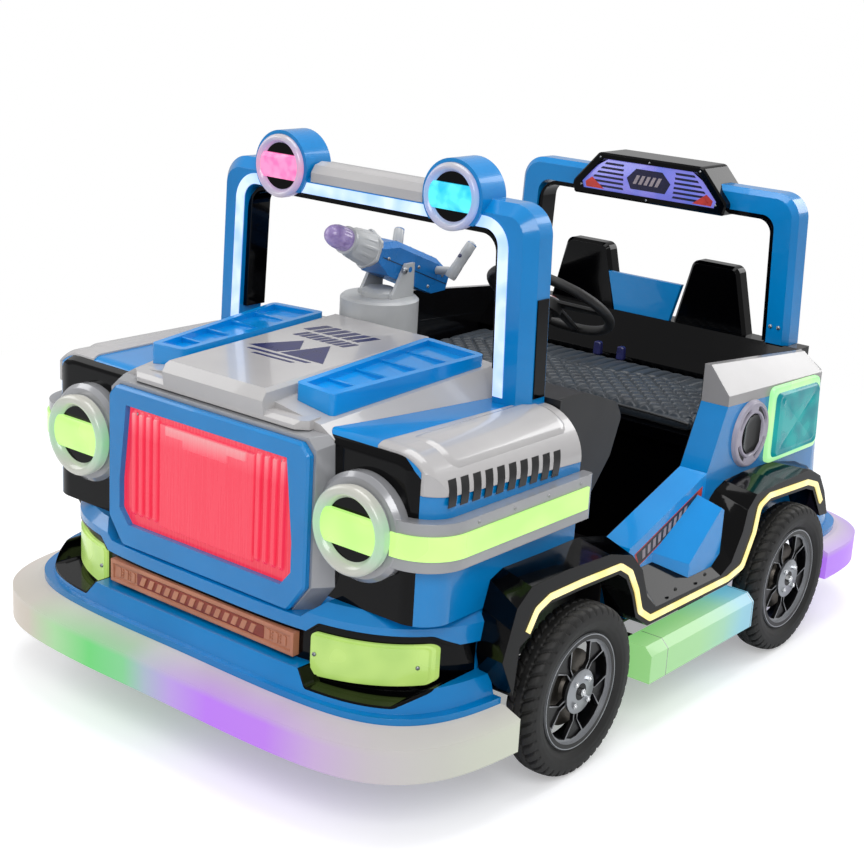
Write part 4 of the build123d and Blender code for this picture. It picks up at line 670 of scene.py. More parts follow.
def socket_screw(spot, outward, radius):
    """Domed screw head with a round socket, turned about the direction it faces."""
    outward = np.asarray(outward, float) / np.linalg.norm(outward)
    nearly_upright = abs(outward[2]) >= 0.9
    first = np.cross(outward, [1.0, 0.0, 0.0] if nearly_upright else [0.0, 0.0, 1.0])
    first /= np.linalg.norm(first)
    profile = [(-0.4, 0.0), (-0.4, 1.0), (0.15, 0.98), (0.5, 0.72), (0.6, 0.42), (0.2, 0.34),
               (0.2, 0.0)]
    head = lathe(np.array(profile) * radius, (0, 0, 0), "Z", 20)
    return turned(head, [first, np.cross(outward, first), outward], spot)


def rise(value, edge, soft):
    """0 below edge, 1 above it, with a straight ramp of twice soft between."""
    return np.clip((value - edge) / (2 * soft) + 0.5, 0.0, 1.0)


def between(value, low, high, soft):
    return rise(value, low, soft) * (1.0 - rise(value, high, soft))


def knots(low, high, count, edges, soft):
    """Even steps with a close pair at each edge, so that a ridge has crisp sides."""
    even = np.linspace(low, high, count)
    edges = np.asarray(edges, float)
    return np.unique(np.clip(np.concatenate([even, edges - soft, edges + soft]), low, high))


# Rounded shoulder of the wings, as the CAD model has it: centre (x, z) and radius of the skin
SHOULDER_CENTRE = (495.0, 701.0)
SHOULDER_RADIUS = 109.0


def on_shoulder(station, arc, lift):
    """Point over the wing's skin. arc is the length from the start of the curve: negative on
    the flat top, then radius times angle, then straight down the side."""
    quarter = SHOULDER_RADIUS * np.pi / 2
    turn = np.clip(arc, 0.0, quarter) / SHOULDER_RADIUS
    reach = SHOULDER_RADIUS + lift
    x = SHOULDER_CENTRE[0] + reach * np.sin(turn) + np.minimum(arc, 0.0)
    z = SHOULDER_CENTRE[1] + reach * np.cos(turn) - np.maximum(arc - quarter, 0.0)
    return np.stack(np.broadcast_arrays(x, station, z), axis=-1)


# Nose block that carries the plate and corner lamps, as the CAD model has it
NOSE_HALF, NOSE_TIP, NOSE_CORNER, NOSE_POWER = 618.0, 130.0, 805.0, 4.0


def nose_station(x, proud):
    """Station of the nose's rounded plan: (x/half)^p + (reach/length)^p = 1."""
    share = 1.0 - (np.abs(x) / (NOSE_HALF + proud)) ** NOSE_POWER
    return NOSE_CORNER - (NOSE_CORNER - NOSE_TIP + proud) * share ** (1.0 / NOSE_POWER)


# Settings


class CarStageSettings(bpy.types.PropertyGroup):
    """Camera and light of the studio."""
    camera_place: bpy.props.FloatVectorProperty(
        name="Camera place", description="Where the camera stands", size=3, unit="LENGTH",
        default=(2.497, -3.3342, 1.7963))
    azimuth: bpy.props.FloatProperty(
        name="Azimuth", description="Turn of the camera round the car, in degrees", default=38.3)
    elevation: bpy.props.FloatProperty(
        name="Elevation", description="Downward tilt of the camera, in degrees", default=16.8)
    roll: bpy.props.FloatProperty(
        name="Roll", description="Turn of the camera about its view, in degrees", default=3.4)
    lens: bpy.props.FloatProperty(
        name="Lens", description="Focal length on a 36 mm sensor", unit="CAMERA", default=68.5)
    light: bpy.props.FloatProperty(
        name="Light", description="Share of the studio lamps' power", default=1.0)


class CarPaintSettings(bpy.types.PropertyGroup):
    """Strength of the lit parts."""
    glow: bpy.props.FloatProperty(
        name="Glow", description="Share of the lit parts' brightness", default=1.0)


class CarTyreSettings(bpy.types.PropertyGroup):
    """Sizes of the tyre tread."""
    groove_depth: bpy.props.FloatProperty(
        name="Groove depth", description="Depth of the tread grooves in millimetres", default=5.0)
    pitches: bpy.props.IntProperty(
        name="Pitches", description="Tread blocks round each tyre", default=44)


class CarSeatSettings(bpy.types.PropertyGroup):
    """Sizes of the quilted seat."""
    quilt_pitch: bpy.props.FloatProperty(
        name="Quilt pitch", description="Distance between seams in millimetres", default=46.0)
    seam_depth: bpy.props.FloatProperty(
        name="Seam depth", description="Depth of the sewn channels in millimetres", default=5.0)


# Operators


class CarStep:
    """Operator that builds one group of pieces."""

    def execute(self, context):
        self.build(context.scene)
        return {"FINISHED"}


class OBJECT_OT_car_stage(CarStep, bpy.types.Operator):
    """Floor, world, lamps and the camera"""
    bl_idname = "object.car_stage"
    bl_label = "Stage"

    def build(self, scene):
        settings = scene.car_stage
        self.make_world(scene)
        self.make_floor()
        self.make_lamps(settings.light)
        self.make_camera(scene, settings)
        scene.view_settings.view_transform = "Standard"

    def make_world(self, scene):
        """White where the camera sees it, through glass too, and a softer grey as light."""
        world = bpy.data.worlds.new("studio")
        scene.world = world
        world.use_nodes = True
        tree = world.node_tree
        tree.nodes.clear()
        ray = add_node(tree, "LightPath").outputs
        seen = add_node(tree, "Math", 0, {"operation": "MAXIMUM", 0: ray["Is Camera Ray"],
                                          1: ray["Is Transmission Ray"]})
        light = add_node(tree, "Background", 0, {"Color": WHITE, "Strength": 0.55})
        white = add_node(tree, "Background", 0, {"Color": WHITE, "Strength": 1.0})
        mix = add_node(tree, "MixShader", 0, {0: seen, 1: light, 2: white})
        add_node(tree, "OutputWorld", None, {"Surface": mix})

    def make_floor(self):
        """Pale floor: the camera sees it lit and shaded near the car, and as white as the
        world further off than the fade."""
        size, fade_start, fade_end = 200.0, 1.3, 3.2
        mesh = bpy.data.meshes.new("floor")
        mesh.from_pydata([(-size, -size, 0), (size, -size, 0), (size, size, 0), (-size, size, 0)],
                         [], [(0, 1, 2, 3)])
        floor = bpy.data.objects.new("floor", mesh)
        bpy.context.scene.collection.objects.link(floor)
        material, tree, place = new_material("studio_floor")
        base = add_node(tree, "BsdfDiffuse", 0, {"Color": linear("#E4E5E7")})
        glow = add_node(tree, "Emission", 0, {"Color": WHITE, "Strength": 0.34})
        lit = add_node(tree, "AddShader", 0, {0: base, 1: glow})
        white = add_node(tree, "Emission", 0, {"Color": WHITE, "Strength": 1.0})
        away = add_node(tree, "VectorMath", "Value", {"operation": "LENGTH", 0: place})
        far = add_node(tree, "MapRange", 0, {"Value": away, "From Min": fade_start,
                                             "From Max": fade_end})
        shown = add_node(tree, "MixShader", 0, {0: far, 1: lit, 2: white})
        ray = add_node(tree, "LightPath").outputs
        mix = add_node(tree, "MixShader", 0, {0: ray["Is Camera Ray"], 1: base, 2: shown})
        add_node(tree, "OutputMaterial", None, {"Surface": mix})
        mesh.materials.append(material)

    def make_lamps(self, share):
        """Large soft lamps: key from the front left, fill from the right, top and rear."""
        for name, place, size, power in (
                ("key", (3.0, -3.4, 3.6), 2.4, 105.0), ("fill", (-3.8, -2.4, 2.6), 2.6, 60.0),
                ("top", (0.0, 0.2, 4.4), 2.8, 88.0), ("rear", (1.6, 4.2, 2.8), 2.4, 70.0)):
            lamp = bpy.data.lights.new(name, "AREA")
            lamp.size = size
            lamp.energy = power * share
            obj = bpy.data.objects.new(name, lamp)
            bpy.context.scene.collection.objects.link(obj)
            obj.location = place
            aim = Vector((0.0, 0.0, 0.5)) - Vector(place)
            obj.rotation_euler = aim.to_track_quat("-Z", "Y").to_euler()

    def make_camera(self, scene, settings):
        """Camera turned by azimuth and elevation, then rolled about its view."""
        azimuth, elevation, roll = (math.radians(v) for v in (
            settings.azimuth, settings.elevation, settings.roll))
        back = Vector((math.sin(azimuth) * math.cos(elevation),
                       -math.cos(azimuth) * math.cos(elevation), math.sin(elevation)))
        level = Vector((math.cos(azimuth), math.sin(azimuth), 0.0))
        upright = back.cross(level)
        right = level * math.cos(roll) + upright * math.sin(roll)
        up = upright * math.cos(roll) - level * math.sin(roll)
        camera = bpy.data.cameras.new("camera")
        camera.lens = settings.lens
        camera.sensor_width = 36.0
        obj = bpy.data.objects.new("camera", camera)
        scene.collection.objects.link(obj)
        turn = Matrix((right, up, back)).transposed()
        obj.matrix_world = Matrix.Translation(settings.camera_place) @ turn.to_4x4()
        scene.camera = obj


class OBJECT_OT_car_finishes(CarStep, bpy.types.Operator):
    """Paint, plastic, metal and lit plastic on the CAD nodes"""
    bl_idname = "object.car_finishes"
    bl_label = "Finishes"

    def build(self, scene):
        FINISH.update(make_finishes(scene.car_paint.glow))
        wheel_finish = {"tyre": "tyre", "rim": "alloy"}
        for name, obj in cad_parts.items():
            finish = NODE_FINISH.get(name) or wheel_finish[name.split("_")[0]]
            obj.data.materials.clear()
            obj.data.materials.append(FINISH[finish])


class OBJECT_OT_car_tyres(CarStep, bpy.types.Operator):
    """Tyres with a block tread, hub plates, wheel nuts, rim edges and brakes"""
    bl_idname = "object.car_tyres"
    bl_label = "Tyres and wheel trim"

    def build(self, scene):
        settings = scene.car_tyres
        for end in ("front", "rear"):
            for side, out in (("left", 1.0), ("right", -1.0)):
                self.make_tyre(f"{end}_{side}", settings)
                self.make_trim(f"{end}_{side}", out)
                self.make_brake(end, side, out)

    def make_tyre(self, wheel, settings):
        """Ring section from bead to bead turned about the axle; the radius drops by the
        groove depth where a zigzag of grooves runs round and across the crown."""
        low, high = box_mm(f"tyre_{wheel}")
        centre = (low + high) / 2
        half = (high[0] - low[0]) / 2
        radius = (high[2] - low[2]) / 2
        outline = np.array([(-0.66, 0.637), (-0.66, 0.69), (-0.8, 0.72), (-0.95, 0.77),
                            (-1.0, 0.83), (-0.985, 0.885), (-0.93, 0.93), (-0.84, 0.963),
                            (-0.7, 0.982), (-0.5, 0.993), (-0.25, 0.999), (0.0, 1.0)])
        outline = np.concatenate([outline, outline[-2::-1] * [-1, 1]])
        points_across, steps = 96, settings.pitches * 10
        dense = np.linspace(0, len(outline) - 1, points_across)
        u, r = (np.interp(dense, np.arange(len(outline)), column)[:, None]
                for column in outline.T)
        angle = np.linspace(0, 2 * np.pi, steps, endpoint=False)[None, :]
        turn = angle * settings.pitches / (2 * np.pi)
        # Grooves across lean, half a pitch apart on the two sides. Grooves round sway beside
        # the middle. Their sizes are shares of a pitch, of the half width and of the radius.
        lean, across_half, across_wall, middle_rib, crown = 0.9, 0.16, 0.06, 0.22, 0.9
        round_at, round_half, round_wall, sway, flat_crown = 0.24, 0.055, 0.03, 0.07, 0.97
        shifted = (turn + lean * np.abs(u) + (u > 0) * 0.5) % 1.0
        across = np.clip((across_half - np.abs(shifted - 0.5)) / across_wall, 0, 1)
        across *= (np.abs(u) > middle_rib) & (r > crown)
        zigzag = sway * (2 * np.abs((turn % 1.0) - 0.5) - 0.5)
        off = np.abs(np.abs(u) - round_at - zigzag)
        groove = np.maximum(across, np.clip((round_half - off) / round_wall, 0, 1)
                            * (r > flat_crown))
        # Two fine moulded lines run round each side wall.
        line_half, line_wall, line_mm = 0.006, 0.003, 0.8
        off = np.minimum(np.abs(r - 0.74), np.abs(r - 0.8))
        line = np.clip((line_half - off) / line_wall, 0, 1)
        reach = radius * r - settings.groove_depth * groove + line_mm * line
        points = np.stack([centre[0] + half * u + 0.0 * angle, centre[1] + reach * np.cos(angle),
                           centre[2] + reach * np.sin(angle)], axis=-1).reshape(-1, 3)
        part = (points, [grid_faces(points_across, steps, True, True)])
        make_piece(f"tread_{wheel}", part, "tyre", f"wheel_{wheel}", [f"tyre_{wheel}"], 35.0)

    def make_trim(self, wheel, out):
        """Hub plate with a black disc round the axle nut, four more domed nuts outside the
        disc, and the rim's bright edge."""
        body = f"wheel_{wheel}"
        low, high = box_mm(f"rim_{wheel}")
        middle = (low + high) / 2
        half = (high[0] - low[0]) / 2
        face, plate_radius, disc_radius, nut_circle = half - 0.6, 52.0, 20.0, 36.0
        plate = [(half - 8.8, 0.0), (half - 8.8, plate_radius), (face - 1.5, plate_radius),
                 (face, plate_radius - 2.0), (face, 0.0)]
        self.turned_about_axle(f"hub_plate_{wheel}", plate, middle, out, "zinc", body)
        disc = [(face - 1.0, 0.0), (face - 1.0, disc_radius), (face + 0.2, disc_radius),
                (face + 0.2, 0.0)]
        self.turned_about_axle(f"hub_recess_{wheel}", disc, middle, out, "black", body)
        edge = [(half - 1.0, 132.6), (half + 0.5, 133.0), (half + 0.5, 135.2),
                (half - 1.0, 135.6)]
        self.turned_about_axle(f"rim_edge_{wheel}", edge, middle, out, "zinc", body)
        parts = [self.nut(middle + [out * face, 0, 0], out, 8.0)]
        for angle in np.radians([45, 135, 225, 315]):
            spot = middle + [out * face, nut_circle * math.cos(angle),
                             nut_circle * math.sin(angle)]
            parts.append(self.nut(spot, out, 6.0))
        make_piece(f"wheel_nuts_{wheel}", merged(parts), "chrome", body, sharp=30.0)

    def turned_about_axle(self, name, profile, middle, out, finish, body):
        """Ring from (distance outwards from the wheel's middle, radius) points."""
        profile = [(out * along, radius) for along, radius in profile]
        make_piece(name, lathe(profile, middle, "X", 96), finish, body)

    def nut(self, spot, out, size):
        """Acorn nut: a hexagon below and a round dome above. Each level gives its growth and
        radius as shares of the size, and a 1 where it belongs to the hexagon."""
        levels = np.array([(0, 0, 1), (0, 1, 1), (0.45, 1, 1), (0.9, 1, 1), (0.95, 0.82, 0),
                           (1.1, 0.8, 0), (1.3, 0.68, 0), (1.42, 0.42, 0), (1.45, 0, 0)])
        growth, width, six_sided = levels.T[..., None]
        angle = np.linspace(0, 2 * np.pi, 24, endpoint=False)[None, :]
        hexagon = np.cos(np.pi / 6) / np.cos((angle % (np.pi / 3)) - np.pi / 6)
        radius = size * width * np.where(six_sided, 1.15 * hexagon, 1.0)
        points = np.stack([spot[0] + out * size * growth + 0.0 * angle,
                           spot[1] + radius * np.cos(angle),
                           spot[2] + radius * np.sin(angle)], axis=-1).reshape(-1, 3)
        return points, [grid_faces(len(levels), 24, False, True)]

    def make_brake(self, end, side, out):
        """Disc with its hat on the wheel, and a caliper beside it that stays behind."""
        wheel = f"{end}_{side}"
        low, high = box_mm(f"rim_{wheel}")
        middle = (low + high) / 2
        profile = [(-10.0, 13.0), (-10.0, 90.0), (-4.0, 90.0), (-4.0, 40.0), (4.5, 36.0),
                   (4.5, 13.0)]
        self.turned_about_axle(f"brake_disc_{wheel}", profile, middle, out, "brake",
                               f"wheel_{wheel}")
        carrier = f"knuckle_{side}" if end == "front" else BODY
        outline = rounded([(-24, 48), (34, 40), (40, 96), (-18, 104)], 9)
        spot = middle - [out * 26.0, 0, 0]
        block = raised(outline, [(3, 0), (0, 3), (0, 29), (3, 32)],
                       lambda u, v, w: np.stack([spot[0] + out * (w - 2.0), spot[1] + v,
                                                 spot[2] + u], axis=-1))
        make_piece(f"brake_caliper_{wheel}", block, "dash", carrier)


class OBJECT_OT_car_round_lamps(CarStep, bpy.types.Operator):
    """Headlamps and pod lamps: milky ring, lit band and dark half moons"""
    bl_idname = "object.car_round_lamps"
    bl_label = "Round lamps"

    def build(self, scene):
        ring = [(30, 0), (30, 0.97), (12, 1.0), (5.5, 0.99), (1.6, 0.95), (0.0, 0.89),
                (0.4, 0.84), (2.6, 0.8), (10, 0.745), (17, 0.708), (20, 0.7), (20, 0)]
        self.make_pair("headlamp_rings", "headlamp", ring, ("lime_rim", "lime_rim"),
                       ("lime", "lime"), (4.0, 20.0, 0.78, 0.38))
        ring = [(28, 0), (28, 1.0), (7.5, 1.0), (2.6, 0.965), (0.4, 0.92), (0.0, 0.88),
                (1.2, 0.84), (6, 0.79), (12, 0.745), (14, 0.735), (14, 0)]
        self.make_pair("pod_lamps", "pod_lamp", ring, ("pink_rim", "blue_rim"),
                       ("magenta", "cyan"), (3.0, 14.0, 0.8, 0.39))

    def make_pair(self, node, name, profile, rims, lit, band):
        """Both lamps of a CAD node. band is the depth of its face, of the bowl's floor, and
        its half width and half height as shares of the radius."""
        low, high = box_mm(node)
        radius = (high[2] - low[2]) / 2
        face, floor, wide, tall = band
        for side, out, rim, glow in (("right", -1.0, rims[0], lit[0]),
                                     ("left", 1.0, rims[1], lit[1])):
            centre = np.array([out * (high[0] - radius), low[1], (low[2] + high[2]) / 2])
            turned_ring = lathe([(d, share * radius) for d, share in profile], centre, "Y", 72)
            make_piece(f"{name}_ring_{side}", turned_ring, rim, replaces=[node])
            dish = [(floor + 1, 0), (floor + 1, 0.735 * radius), (floor - 0.8, 0.735 * radius),
                    (floor - 0.4, 0.4 * radius), (floor - 0.4, 0)]
            make_piece(f"{name}_moons_{side}", lathe(dish, centre, "Y", 64), "black")
            self.make_band(f"{name}_band_{side}", centre, face, floor, wide * radius,
                           tall * radius, glow)

    def make_band(self, name, centre, face, floor, wide, tall, glow):
        """Lens across the bowl: its sides follow the circle's chord, its face falls off at
        the top and bottom edge with the fourth power of the height."""
        x = np.linspace(-1, 1, 41)[:, None]
        z = np.sin(np.linspace(-1, 1, 21) * np.pi / 2)[None, :]
        chord = np.sqrt(np.maximum(wide ** 2 - (z * tall) ** 2, 0))
        depth = face + 1.5 * x ** 2 + 4.0 * z ** 4 * (1 - 0.3 * x ** 2)
        front = np.stack([centre[0] + x * chord, centre[1] + depth,
                          centre[2] + z * tall + 0 * x], axis=-1)
        back = front.copy()
        back[..., 1] = centre[1] + floor
        make_piece(name, closed_sheet(front, back), glow)


class OBJECT_OT_car_grille(CarStep, bpy.types.Operator):
    """Lit grille with ribs and crest, its screws, and the plate below it"""
    bl_idname = "object.car_grille"
    bl_label = "Grille and plate"

    def build(self, scene):
        low, high = box_mm("grille_lens")
        self.make_lens(low, high)
        from_side, from_top, face = 44, 17, low[1] + 9.8
        screws = [socket_screw((out * (high[0] - from_side), face, high[2] - from_top),
                               (0, -1, 0), 4.5) for out in (-1, 1)]
        make_piece("grille_screws", merged(screws), "zinc")
        self.make_plate()

    def make_lens(self, low, high):
        """Height over the sheet: four ribs at each side, a panel between them, and on its
        upper edge a crest with a narrower step below. Columns past the lens's edge are held
        at the edge."""
        sheet, pitch, width, soft = 10.0, 24.0, 13.0, 1.6
        panel_half, crest_half, step_half = 148.0, 126.0, 70.0
        panel_foot, rib_foot, step_foot, crest_foot, panel_head, rib_head = (
            478, 486, 682, 700, 722, 728)
        ribs = panel_half + 8 + pitch * np.arange(4)
        edges = np.concatenate([ribs, ribs + width, [panel_half, crest_half, step_half]])
        x = knots(low[0], high[0], 110, np.concatenate([edges, -edges]), soft)[:, None]
        z = knots(low[2], high[2], 70, [panel_foot, rib_foot, step_foot, crest_foot, panel_head,
                                        rib_head], soft)[None, :]
        half = np.interp(z, [457, 492, 560, 742], [243, 273, 273, 252]) - 0.3
        across = np.abs(x)
        rib = sum(between(across, start, start + width, soft) for start in ribs)
        fade = between(z, rib_foot, rib_head, 4.0)
        panel, crest, step = (
            between(z, foot, panel_head, soft) * (1 - rise(across, edge, soft))
            for foot, edge in ((panel_foot, panel_half), (crest_foot, crest_half),
                               (step_foot, step_half)))
        height = np.maximum(7 * rib * fade, np.maximum(5 * panel, 10 * np.maximum(crest, step)))
        held = np.clip(x + 0 * z, -half, half)
        front = np.stack([held, low[1] + sheet - height, z + 0 * x], axis=-1)
        back = front.copy()
        back[..., 1] = high[1]
        make_piece("grille_glow", closed_sheet(front, back), "grille", replaces=["grille_lens"],
                   sharp=50.0)

    def make_plate(self):
        """Raised pattern in the plate's fields: a thin rail above and below, leaning bars in
        the middle, and columns of pads and dots at both ends."""
        low, high = box_mm("front_plate")
        field = on_front(low[1] + 3.0)
        middle = (low[2] + high[2]) / 2
        levels = [(0, 0), (0, 1.6), (0.8, 2.4)]
        red_half = high[0] - 90
        red = rounded(symmetric([(red_half, middle + 15), (red_half, middle - 15)]), 3)
        make_piece("plate_field", raised(red, [(0, -0.5), (0, 0.8), (0.5, 1.2)], field),
                   "red_field")
        bars = leaning_bars(-196, 196, middle - 11, middle + 11, 14, 10, 0.55)
        parts = [raised(bar, [(0, 0.8), (0, 2.6), (0.7, 3.2)], field) for bar in bars]
        pad = rounded([(-6.5, -12), (6.5, -12), (6.5, 12), (-6.5, 12)], 4)
        first_pad, first_dot, pitch = 218, 230, 24
        rail_half, rail_low, rail_high = high[0] - 12, 16, 18
        for out in (-1, 1):
            for column in range(3):
                spot = [out * (first_pad + pitch * column), middle]
                parts.append(raised(pad + spot, levels, field))
            for column in range(2):
                for row in (-8, 0, 8):
                    spot = [out * (first_dot + pitch * column), middle + row]
                    parts.append(raised(circle(2.6, 12) + spot, levels, field))
        for sign in (-1, 1):
            near, far = middle + sign * rail_low, middle + sign * rail_high
            rail = [(-rail_half, near), (rail_half, near), (rail_half, far), (-rail_half, far)]
            parts.append(raised(rail, [(0, 0), (0, 1.4), (0.5, 1.8)], field))
        make_piece("plate_pattern", merged(parts), "copper")


class OBJECT_OT_car_nose_trim(CarStep, bpy.types.Operator):
    """Screws of the corner lamps and the raised panels and stripes on the wings"""
    bl_idname = "object.car_nose_trim"
    bl_label = "Lamp screws and wing trim"

    def build(self, scene):
        self.make_lamp_screws()
        self.make_wing_panels()
        self.make_wing_stripes()
        self.make_bar_screws()

    def make_lamp_screws(self):
        """Each screw stands proud of the nose's curved plan and faces along its normal."""
        proud, screw_z = 14.0, 326.0
        parts = []
        for x in (344.0, 542.0):
            station = nose_station(x, proud)
            slope = nose_station(x + 1.0, proud) - station
            parts.append(socket_screw((x, station, screw_z), (slope, -1.0, 0.0), 5.0))
        make_piece("corner_lamp_screws", pair(merged(parts)), "zinc")

    def make_wing_panels(self):
        """Panel pressed out of the shoulder: at its full lift inside a border with rounded
        corners, and falling to nothing at the border."""
        front_end, rear_end, upper, lower = 262, 676, -30, 100
        full_lift, corner_radius, fall = 5.0, 30, 14
        station = np.linspace(front_end, rear_end, 90)[:, None]
        arc = np.linspace(upper, lower, 50)[None, :]
        from_ends = np.minimum(station - front_end, rear_end - station)
        from_sides = np.minimum(arc - upper, lower - arc)
        corner = np.hypot(np.minimum(from_ends - corner_radius, 0),
                          np.minimum(from_sides - corner_radius, 0))
        lift = full_lift * np.clip((corner_radius - corner) / fall, 0, 1) ** 0.8
        front = on_shoulder(station, arc, lift - 0.4)
        back = on_shoulder(station, arc, -2.5 + 0.0 * lift)
        make_piece("wing_panels", pair(closed_sheet(front, back)), "pearl", sharp=60.0)

    def make_wing_stripes(self):
        """Leaning bars along the wing's flank, of the size of a row of letters."""
        first, pitch, count, width, lean = 226, 40.0, 10, 25, 12
        head, foot, drop_by_bar = 116.0, 172.0, 1.6
        along = np.linspace(0, width, 3)[:, None]
        down = np.linspace(0, 1, 9)[None, :]
        parts = []
        for i in range(count):
            arc = head + (foot - head) * down + drop_by_bar * i
            station = first + i * pitch + along + lean * (1 - down)
            front = on_shoulder(station, arc, 0.7)
            back = on_shoulder(station, arc, -0.5)
            parts.append(closed_sheet(front, back))
        make_piece("wing_stripes", pair(merged(parts)), "black_film")

    def make_bar_screws(self):
        """Small caps along the silver bar, above its light."""
        high = box_mm("side_bar_lenses")[1]
        face = high[0] - 5.0
        parts = [socket_screw((face, station, high[2] + 13), (1, 0, 0), 4.0)
                 for station in np.linspace(300, high[1] - 30, 4)]
        make_piece("light_bar_screws", pair(merged(parts)), "silver")


class OBJECT_OT_car_decals(CarStep, bpy.types.Operator):
    """Printed films: generic shapes on the hood, the entry braces and the sign"""
    bl_idname = "object.car_decals"
    bl_label = "Decals and sign"

    def build(self, scene):
        self.make_hood_decal()
        self.make_brace_decals()
        self.make_sign()

    def make_hood_decal(self):
        """Peaks in front of two rows of slanted bars, lying on the raised panel's slope."""
        # Where the panel's top starts and ends, as (station, z).
        front, rear = (160.0, 863.0), (702.0, 893.0)
        slope = (rear[1] - front[1]) / (rear[0] - front[0])
        film = on_top(front[1], slope, front[0])
        levels = [(0, -0.5), (0, 0.5)]
        bars = leaning_bars(-112, 92, 552, 608, 6, 22, 0.66)
        bars += leaning_bars(-98, 84, 500, 538, 8, 14, 0.66)
        peaks = [[(-112, 372), (-24, 372), (2, 420), (-40, 478)],
                 [(-12, 372), (118, 372), (36, 486)],
                 [(-96, 348), (84, 352), (92, 362), (-88, 358)],
                 [(-62, 328), (58, 331), (64, 339), (-56, 336)]]
        shapes = [raised(outline, levels, film) for outline in bars + peaks]
        make_piece("hood_decal", merged(shapes), "navy_film")

    def make_brace_decals(self):
        """Dark strip up the slope with pale leaning bars, over a red strip that shows at its
        edges and as a triangle at its upper end."""
        high = box_mm("rear_quarters")[1]
        face = on_left(high[0])
        corners = np.array([(995.0, 366.0), (1273.0, 469.0), (1275.0, 509.0), (975.0, 403.0)])

        def patch(u0, v0, u1, v1, u2=None, u3=None):
            """Quadrilateral inside the strip, from shares along (u) and across (v) it."""
            u2 = u1 if u2 is None else u2
            u3 = u0 if u3 is None else u3
            shares = np.array([(u0, v0), (u1, v0), (u2, v1), (u3, v1)])
            along, up = shares[:, :1], shares[:, 1:]
            foot = corners[0] + along * (corners[1] - corners[0])
            head = corners[3] + along * (corners[2] - corners[3])
            return foot + up * (head - foot)

        red = raised(corners, [(0, -0.5), (0, 0.4)], face)
        dark = raised(patch(0.02, 0.07, 0.83, 0.93, 0.93), [(0, 0.3), (0, 0.7)], face)
        bars = []
        for i in range(9):
            u = 0.08 + 0.078 * i
            bars.append(raised(patch(u, 0.22, u + 0.042, 0.78, u + 0.062, u + 0.02),
                               [(0, 0.6), (0, 1.0)], face))
        make_piece("brace_decal_edges", pair(red), "red_film")
        make_piece("brace_decals", pair(dark), "black_film")
        make_piece("brace_decal_bars", pair(merged(bars)), "grey_film")

    def make_sign(self):
        """Lit panel with dark stripes that shorten upwards, red corners and a plain badge."""
        low = box_mm("sign_box")[0]
        face = on_front(low[1] + 5.0)
        panel = symmetric([(159, 1197), (227.5, 1124), (221, 1105)])
        make_piece("sign_panel", raised(panel, [(0, -0.5), (0, 0.6), (0.6, 1.0)], face), "sign")
        ink = []
        first, pitch, tall = 1114, 13.5, 6.5
        for i in range(6):
            z = first + pitch * i
            reach = float(np.interp(z + 7, [1124, 1198], [227, 160]))
            stripe = [(82 + 1.5 * i, z), (reach - 14, z), (reach - 20, z + tall), (86, z + tall)]
            ink.append(raised(stripe, [(0, 0.8), (0, 1.4)], face))
        corner = [(229.0, 1124.0), (160, 1198), (136, 1198), (176, 1184), (204, 1148)]
        ink.append(raised(drawn_in(np.array(corner), 1.2), [(0, 0.8), (0, 1.2)], face))
        badge = symmetric([(44, 1182), (74, 1152), (58, 1122)])
        make_piece("sign_stripes", merged([pair(merged(ink)),
                                           raised(badge, [(0, 0.8), (0, 1.6)], face)]), "sign_ink")
        red = raised([(150, 1109), (212, 1109), (216, 1124), (194, 1140)], [(0, 0.9), (0, 1.8)],
                     face)
        make_piece("sign_corners", pair(red), "red_film")
        bars = [raised(bar, [(0, 1.4), (0, 2.4)], face)
                for bar in leaning_bars(-52, 52, 1138, 1164, 5, 12, 0.6)]
        make_piece("sign_bars", merged(bars), "grey_film")
        spots = [(0, 1204), (0, 1096), (168, 1201), (228, 1114)]
        screws = [socket_screw((out * x, low[1] + 0.2, z), (0, -1, 0), 3.5)
                  for x, z in spots for out in (-1, 1)]
        make_piece("sign_screws", merged(screws), "zinc")


